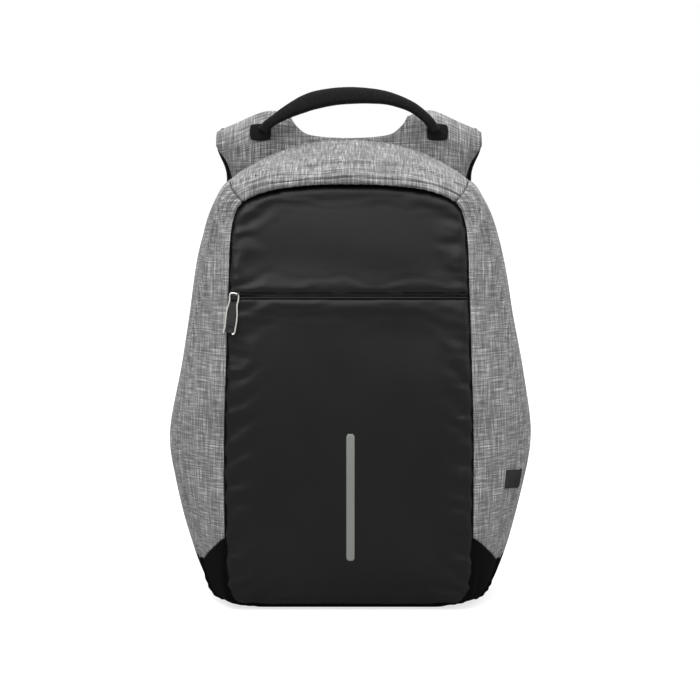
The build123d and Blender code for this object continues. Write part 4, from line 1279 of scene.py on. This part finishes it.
# Padded triangles that hold the lower webbing, outline in x and z of the right one.
WING = [(147, 32), (147, 78), (137, 72), (134, 64.5), (110, 64.5), (110, 58), (128, 44)]
ring = resample(np.array(WING + WING[:1], float), 2.0)[:-1]
flat, faces, border = fill_outline(ring, 2.4)
edge = distance_to(flat, ring)
puffed = 55.4 + 1.3 * (1 - np.exp(-edge / 2.2)) - 0.5 * hump(edge - 4.0, 0.9)
outer = np.array([(side * x, y, z) for side in (1, -1) for (x, z), y in zip(flat, puffed)])
inner = outer.copy()
inner[:, 1] = 53.6
wing_faces, wing_borders = with_twin(faces, border, len(flat))
wings = closed_sheet("strap_wings", outer, inner, np.concatenate([flat, flat]) * MM, wing_faces, wing_borders,
                     BASE_CLOTH)
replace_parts(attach(wings, "back_panel"), "strap_anchors")

# ---------------------------------------------------------------- zips of the back panel
back_here, back_side = inset_outline(zip_u, 2, 0)
back_out = np.stack([back_side[:, 0], 0 * zip_u, back_side[:, 1]], 1)
back_edge = np.stack([back_here[:, 0], np.full(len(zip_u), 38.7), back_here[:, 1]], 1)
teeth = zip_coil("main_zip_teeth_back", back_edge - back_out * 1.1, back_out, "back_panel", 2.2)
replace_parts(teeth, "back_zip_coil")
depths = np.linspace(39.1, 44.6, 6)
tape_points = np.repeat(back_edge[:, None], 6, axis=1) - back_out[:, None] * 1.3
tape_points[..., 1] = depths
tape_uv = grid_uv(depths[None, :], arc_lengths(tape_points[:, [2]], 0))
back_tape = sheet_solid("main_zip_tape_back", tape_points, tape_uv, TAPE_CLOTH, 0.7)
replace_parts(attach(back_tape, "back_panel"), "back_zip_tape")

lumbar_line = [(x, 54.5, 110.0) for x in np.linspace(-79, 79, 60)]
lumbar_teeth = zip_coil("lumbar_zip_teeth", lumbar_line, (0, 1, 0), "back_panel", 4.4)
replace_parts(lumbar_teeth, "lumbar_zip_coil")
for tag, z, node in (("low", 105.2, "lumbar_zip_tape"), ("high", 114.8, None)):
    ribbon("lumbar_zip_lip_" + tag, [(x, 54.2, z) for x in np.linspace(-82, 82, 100)], 5.0, 0.9, (0, 1, 0),
           TAPE_CLOTH, "back_panel", node)

# ---------------------------------------------------------------- fabric hinge
t = np.linspace(0, 1, 26)
hinge_y = 33.4 + 4.6 * np.minimum(t / 0.42, 1) + 3.6 * smoothstep(t, 0.4, 0.62)
hinge_z = 3.0 + 3.2 * smoothstep(t, 0.42, 0.66) + 15.0 * np.maximum(t - 0.6, 0) / 0.4
hinge_points = np.stack(np.broadcast_arrays(np.linspace(-88, 88, 60)[:, None], hinge_y, hinge_z), -1)
hinge_run = arc_lengths(hinge_points, 1)
hinge_cloth = sheet_solid("hinge_cloth", hinge_points, grid_uv(hinge_points[..., 0], hinge_run), BASE_CLOTH, 0.8)
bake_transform(hinge_cloth)
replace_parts(hinge_cloth, "back_hinge_flap")
as_sheet(hinge_cloth)
hinge_line = [(x, 38.0, 3.0) for x in np.linspace(-87.5, 87.5, 90)]
hinge_cord = tube("hinge_cord", hinge_line, 1.3, WEBBING, 10, (0, 0, 1))
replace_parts(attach(hinge_cord, "front_shell"), "hinge_strip")


# ---------------------------------------------------------------- inside of the bag
LINING_FOOT = 4.45     # u at which the inner layers start


def inner_wall(name, node, depth, thick, material, v_low):
    """A layer inside the wall, with soft quilting."""
    v = np.linspace(v_low, SHELL_END, 26)[None, :]
    u = np.linspace(LINING_FOOT, FULL_TURN - LINING_FOOT, 220)[:, None]
    points, normals = on_wall(u, v)
    quilt = 0.35 * waves(points, 41, 45.0)
    points = points - normals * (depth + quilt[..., None] * 0.5)
    uv = grid_uv(arc_lengths(points, 1), arc_lengths(points[:, [12]], 0))
    piece = sheet_solid(name, points, uv, material, thick)
    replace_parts(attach(piece, "front_shell"), node)
    return piece


inner_foam = inner_wall("inner_foam", "shell_foam", 3.6, 0.9, FOAM, 0.02)
inner_lining = inner_wall("inner_lining", "shell_lining", 4.9, 0.6, LINING_CLOTH, 0.03)
as_sheet(inner_lining)

# Black binding that covers the raw edges of foam and lining at the mouth of the bag.
mouth_u = np.linspace(LINING_FOOT, FULL_TURN - LINING_FOOT, 240)[:, None]
mouth_v = np.array([[0.944, 0.958, 0.964, 0.958, 0.944, 0.940]])
mouth_depth = np.array([1.6, 1.6, 3.4, 6.2, 6.2, 3.4])[None, :, None]
mouth_binding = loft("mouth_binding", on_wall(mouth_u, mouth_v, -mouth_depth)[0], WEBBING)
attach(mouth_binding, "front_shell")


def back_layer(name, node, inset, foot, y_range, material):
    """A flat layer of the back panel between two planes."""
    _, flat, faces, border = panel_shape(inset, foot, 8.0, 200)
    x, z = flat[:, 0], flat[:, 1]
    ripple = 0.12 * waves(np.stack([x, 0 * x, z], 1), 57, 70.0)
    outer = np.stack([x, y_range[0] + ripple, z], 1)
    inner = np.stack([x, np.full(len(x), y_range[1]), z], 1)
    piece = closed_sheet(name, outer, inner, flat * MM, faces, [border], material)
    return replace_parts(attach(piece, "back_panel"), node)


back_lining_piece = back_layer("back_lining_cloth", "back_lining", 4.4, 16.0, (44.75, 45.5), LINING_CLOTH)
as_sheet(back_lining_piece)
back_layer("back_foam_layer", "back_foam", 5.4, 28.5, (47.4, 51.0), FOAM)


def cup(name, node, x_range, y_range, z_range, corner=6.0, cloth=1.2):
    """A cloth pocket with four walls and a bottom, open at its top, with a rolled hem."""
    (x0, x1), (y0, y1), (z0, z1) = x_range, y_range, z_range
    middle = np.array([(x0 + x1) / 2, (y0 + y1) / 2])

    def ring(inset):
        half = np.array([(x1 - x0) / 2 - inset, (y1 - y0) / 2 - inset])
        round_ = max(corner - inset, 1.0)
        points = []
        for quarter, signs in enumerate(((1, 1), (-1, 1), (-1, -1), (1, -1))):
            for a in np.linspace(quarter * math.pi / 2, (quarter + 1) * math.pi / 2, 7):
                turn = np.array([math.cos(a), math.sin(a)])
                points.append(middle + np.array(signs) * (half - round_) + round_ * turn)
        return np.array(points)

    rows = [(z0, 3.0), (z0 + 1.0, 1.2), (z0 + 3.5, 0.2)]
    rows += [(z, 0.5 + 0.4 * math.sin(z / 9)) for z in np.linspace(z0 + 8, z1 - 7, 16)]
    rows += [(z1 - 5, 0.5), (z1 - 4.6, 0.0), (z1 - 1.2, 0.0), (z1, 0.7), (z1 - 0.4, cloth + 0.6),
             (z1 - 5, cloth + 0.7)]
    rows += [(z, cloth + 0.5 + 0.4 * math.sin(z / 9)) for z in np.linspace(z1 - 7, z0 + 8, 16)]
    rows += [(z0 + 4, cloth + 0.6), (z0 + 1.5, cloth + 2.5)]
    loops = [[(p[0], p[1], z) for p in ring(inset)] for z, inset in rows]
    piece = loft(name, loops, LINING_CLOTH)
    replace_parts(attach(piece, "front_shell"), node)
    return piece


power_pocket = cup("power_bank_pocket_cloth", "power_bank_pocket", (-135.6, -110.2), (-59.6, 9.6), (60.4, 189.6))
as_sheet(power_pocket)


def pocket_bag(name, node, x_half, y_range, z_range, body):
    """A cloth pocket, open at its top: flat front, folded sides, rounded foot and a bound upper edge."""
    (y0, y1), (z0, z1) = y_range, z_range
    deep, way = abs(y1 - y0), math.copysign(1, y1 - y0)
    columns, rows = 60, 50
    corner = min(10.0, x_half * 0.4)
    run = np.linspace(-1, 1, columns) * (x_half + deep)
    side_depth = np.maximum(np.abs(run) - x_half, 0)
    flat_x = np.clip(run, -x_half, x_half)
    points = np.zeros((rows, columns, 3))
    for i, share in enumerate(np.linspace(0, 1, rows)):
        z = z0 + (z1 - z0) * share
        round_in = corner * (1 - min(share * (z1 - z0) / corner, 1)) ** 2
        x = np.clip(flat_x, -(x_half - round_in), x_half - round_in)
        ripple = 0.5 * np.sin(flat_x / 9 + 5 * share) * smoothstep(share, 0.6, 1.0)
        y = y0 + way * (side_depth + 1.0 + ripple * (side_depth < 0.01))
        points[i] = np.stack([x, y, np.full(columns, z)], 1)
    uv = grid_uv(run[None, :], points[..., 2])
    piece = sheet_solid(name, points.transpose(1, 0, 2), uv.transpose(1, 0, 2), LINING_CLOTH, 1.1)
    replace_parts(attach(piece, body), node)
    as_sheet(piece)
    hem = points[-1].copy()
    hem[:, 2] += 0.3
    band = tube(name + "_binding", resample(hem, 3.0), 1.5, WEBBING, 8, (0, 0, 1))
    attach(band, body)
    return piece


laptop_pocket = pocket_bag("laptop_pocket_cloth", "laptop_sleeve", 132.0, (24.6, 43.6), (41, 299), "back_panel")
pocket_bag("tablet_pocket_cloth", "tablet_pocket", 103.0, (16.0, 23.2), (61, 249), "back_panel")
pocket_bag("organizer_pocket_cloth", "organizer_pocket", 88.0, (-85.4, -92.0), (61, 199), "front_shell")


# ---------------------------------------------------------------- pull of the front zip
# Outline of the pull's wire in shares of its half width and half length, from its top.
PULL_WIRE = [(-0.90, 0.97), (-0.80, 0.72), (-0.84, 0.3), (-0.80, -0.1), (-0.68, -0.35), (-0.60, -0.6),
             (-0.64, -0.84), (-0.42, -0.96), (0.30, -0.96), (0.62, -0.84), (0.66, -0.6), (0.58, -0.4),
             (0.68, -0.15), (0.80, 0.2), (0.78, 0.70), (0.70, 0.93), (0.40, 0.985)]


def front_pull():
    """Bent wire outline and dark inlay of the pull, in the plane of its CAD frame."""
    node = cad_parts["front_pull_frame"]
    corners = np.array([tuple(node.matrix_world @ v.co) for v in node.data.vertices]) / MM
    axes = np.linalg.svd(corners - corners.mean(0), full_matrices=False)[2]
    down, wide, thick = (axis * np.sign(axis[k]) for axis, k in zip(axes, (2, 0, 1)))
    down, thick = -down, -thick
    half_length, half_width, half_thick = (np.ptp(corners @ axis) / 2 for axis in (down, wide, thick))
    middle = sum(axis * (np.max(corners @ axis) + np.min(corners @ axis)) / 2 for axis in (down, wide, thick))
    line = smooth_curve(PULL_WIRE, 150)
    path = middle + line[:, :1] * half_width * wide + line[:, 1:] * half_length * down
    wire = tube("front_pull_wire", path, min(0.85, half_thick), BRIGHT, 12, thick)
    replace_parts(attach(wire, "front_pull"), "front_pull_frame")
    rows = []
    for share in np.linspace(-0.50, 0.93, 40):
        reach = 0.56 + 0.10 * share
        hole = 1.0 if 0.62 < share < 0.86 else 0.0
        rows.append([middle + wide * half_width * reach * k + down * half_length * share
                     + thick * (half_thick * 0.35 - 0.25 * k ** 8 - hole * (abs(k) < 0.6))
                     for k in np.linspace(-1, 1, 15)])
    inlay_grid = np.array(rows)
    uv = grid_uv(inlay_grid[..., 0], inlay_grid[..., 2])
    inlay = sheet_solid("front_pull_inlay", inlay_grid, uv, RUBBER, half_thick * 0.9, inward=thick)
    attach(inlay, "front_pull")


front_pull()


# ---------------------------------------------------------------- finishes of the CAD parts that stay
FINISHES = {
    BOARD: ["base_board", "back_board", "front_pocket_wall"],
    RUBBER: ["base_patch", "usb_cap", "front_pull_insert", "main_zip_pull_left",
             "main_zip_pull_right", "lumbar_zip_pull"],
    PLASTIC: ["strap_buckle_left", "strap_buckle_right", "usb_port_housing"],
    BRASS: ["usb_contacts"],
    BRIGHT: ["front_pull_frame"],
    DARK_METAL: ["front_zip_slider", "front_zip_link", "main_zip_slider_left", "main_zip_slider_right",
                 "lumbar_zip_slider"],
}
for finish, names in FINISHES.items():
    for node_name in names:
        node_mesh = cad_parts[node_name].data
        node_mesh.materials.clear()
        node_mesh.materials.append(finish)


# ---------------------------------------------------------------- light, floor and camera
def area_light(name, place, aim, size, power):
    light = bpy.data.lights.new(name, "AREA")
    light.shape = "RECTANGLE"
    light.size, light.size_y = size
    light.energy = power
    obj = new_object(name, light)
    obj.location = place
    obj.rotation_euler = (Vector(aim) - Vector(place)).to_track_quat("-Z", "Y").to_euler()
    return obj


def sky_light(tree):
    """Soft studio light: brightest from above, dim from the camera's side; the backdrop itself is plain white."""
    nodes, links = tree.nodes, tree.links
    background = nodes["Background"]
    place = nodes.new("ShaderNodeTexCoord")
    split = nodes.new("ShaderNodeSeparateXYZ")
    links.new(place.outputs["Generated"], split.inputs[0])
    height = nodes.new("ShaderNodeMapRange")
    height.inputs["From Min"].default_value, height.inputs["From Max"].default_value = -0.05, 0.9
    height.inputs["To Min"].default_value, height.inputs["To Max"].default_value = 0.20, 1.55
    links.new(split.outputs["Z"], height.inputs[0])
    ray = nodes.new("ShaderNodeLightPath")
    mix = nodes.new("ShaderNodeMix")
    links.new(ray.outputs["Is Camera Ray"], mix.inputs["Factor"])
    links.new(height.outputs[0], mix.inputs["A"])
    mix.inputs["B"].default_value = 1.0
    links.new(mix.outputs[0], background.inputs[1])
    background.inputs[0].default_value = (1, 1, 1, 1)


def studio():
    scene = bpy.context.scene
    scene.view_settings.view_transform = "Standard"
    world = bpy.data.worlds.new("studio")
    scene.world = world
    world.use_nodes = True
    sky_light(world.node_tree)
    bpy.ops.mesh.primitive_plane_add(size=60, location=(0, 0, 0))
    floor = bpy.context.object
    floor.name = "floor"
    material, nodes, links, shader = new_material("pale_floor")
    shader.inputs["Base Color"].default_value = (0.42, 0.42, 0.42, 1)
    shader.inputs["Roughness"].default_value = 0.95
    shader.inputs["Emission Color"].default_value = (1, 1, 1, 1)
    seen = nodes.new("ShaderNodeLightPath").outputs["Is Camera Ray"]
    links.new(math_node(nodes, links, "MULTIPLY", seen, 0.72), shader.inputs["Emission Strength"])
    floor.data.materials.append(material)
    area_light("key_light", (-0.8, -1.75, 2.0), (0, 0, 0.25), (1.6, 1.2), 26)
    area_light("fill_light", (1.9, -1.3, 1.0), (0, 0, 0.25), (1.4, 1.4), 9)
    area_light("top_light", (0, -0.4, 2.0), (0, -0.1, 0.3), (1.8, 1.4), 16)


def camera():
    data = bpy.data.cameras.new("camera")
    data.sensor_width = 36.0
    data.lens = 106.2
    data.clip_start, data.clip_end = 0.05, 100
    obj = new_object("camera", data)
    target, distance, elevation = Vector((0.001, -0.090, 0.241)), 1.9, math.radians(4)
    offset = Vector((0, -math.cos(elevation), math.sin(elevation))) * distance
    obj.location = target + offset
    obj.rotation_euler = (-offset).to_track_quat("-Z", "Y").to_euler()
    bpy.context.scene.camera = obj


studio()
camera()
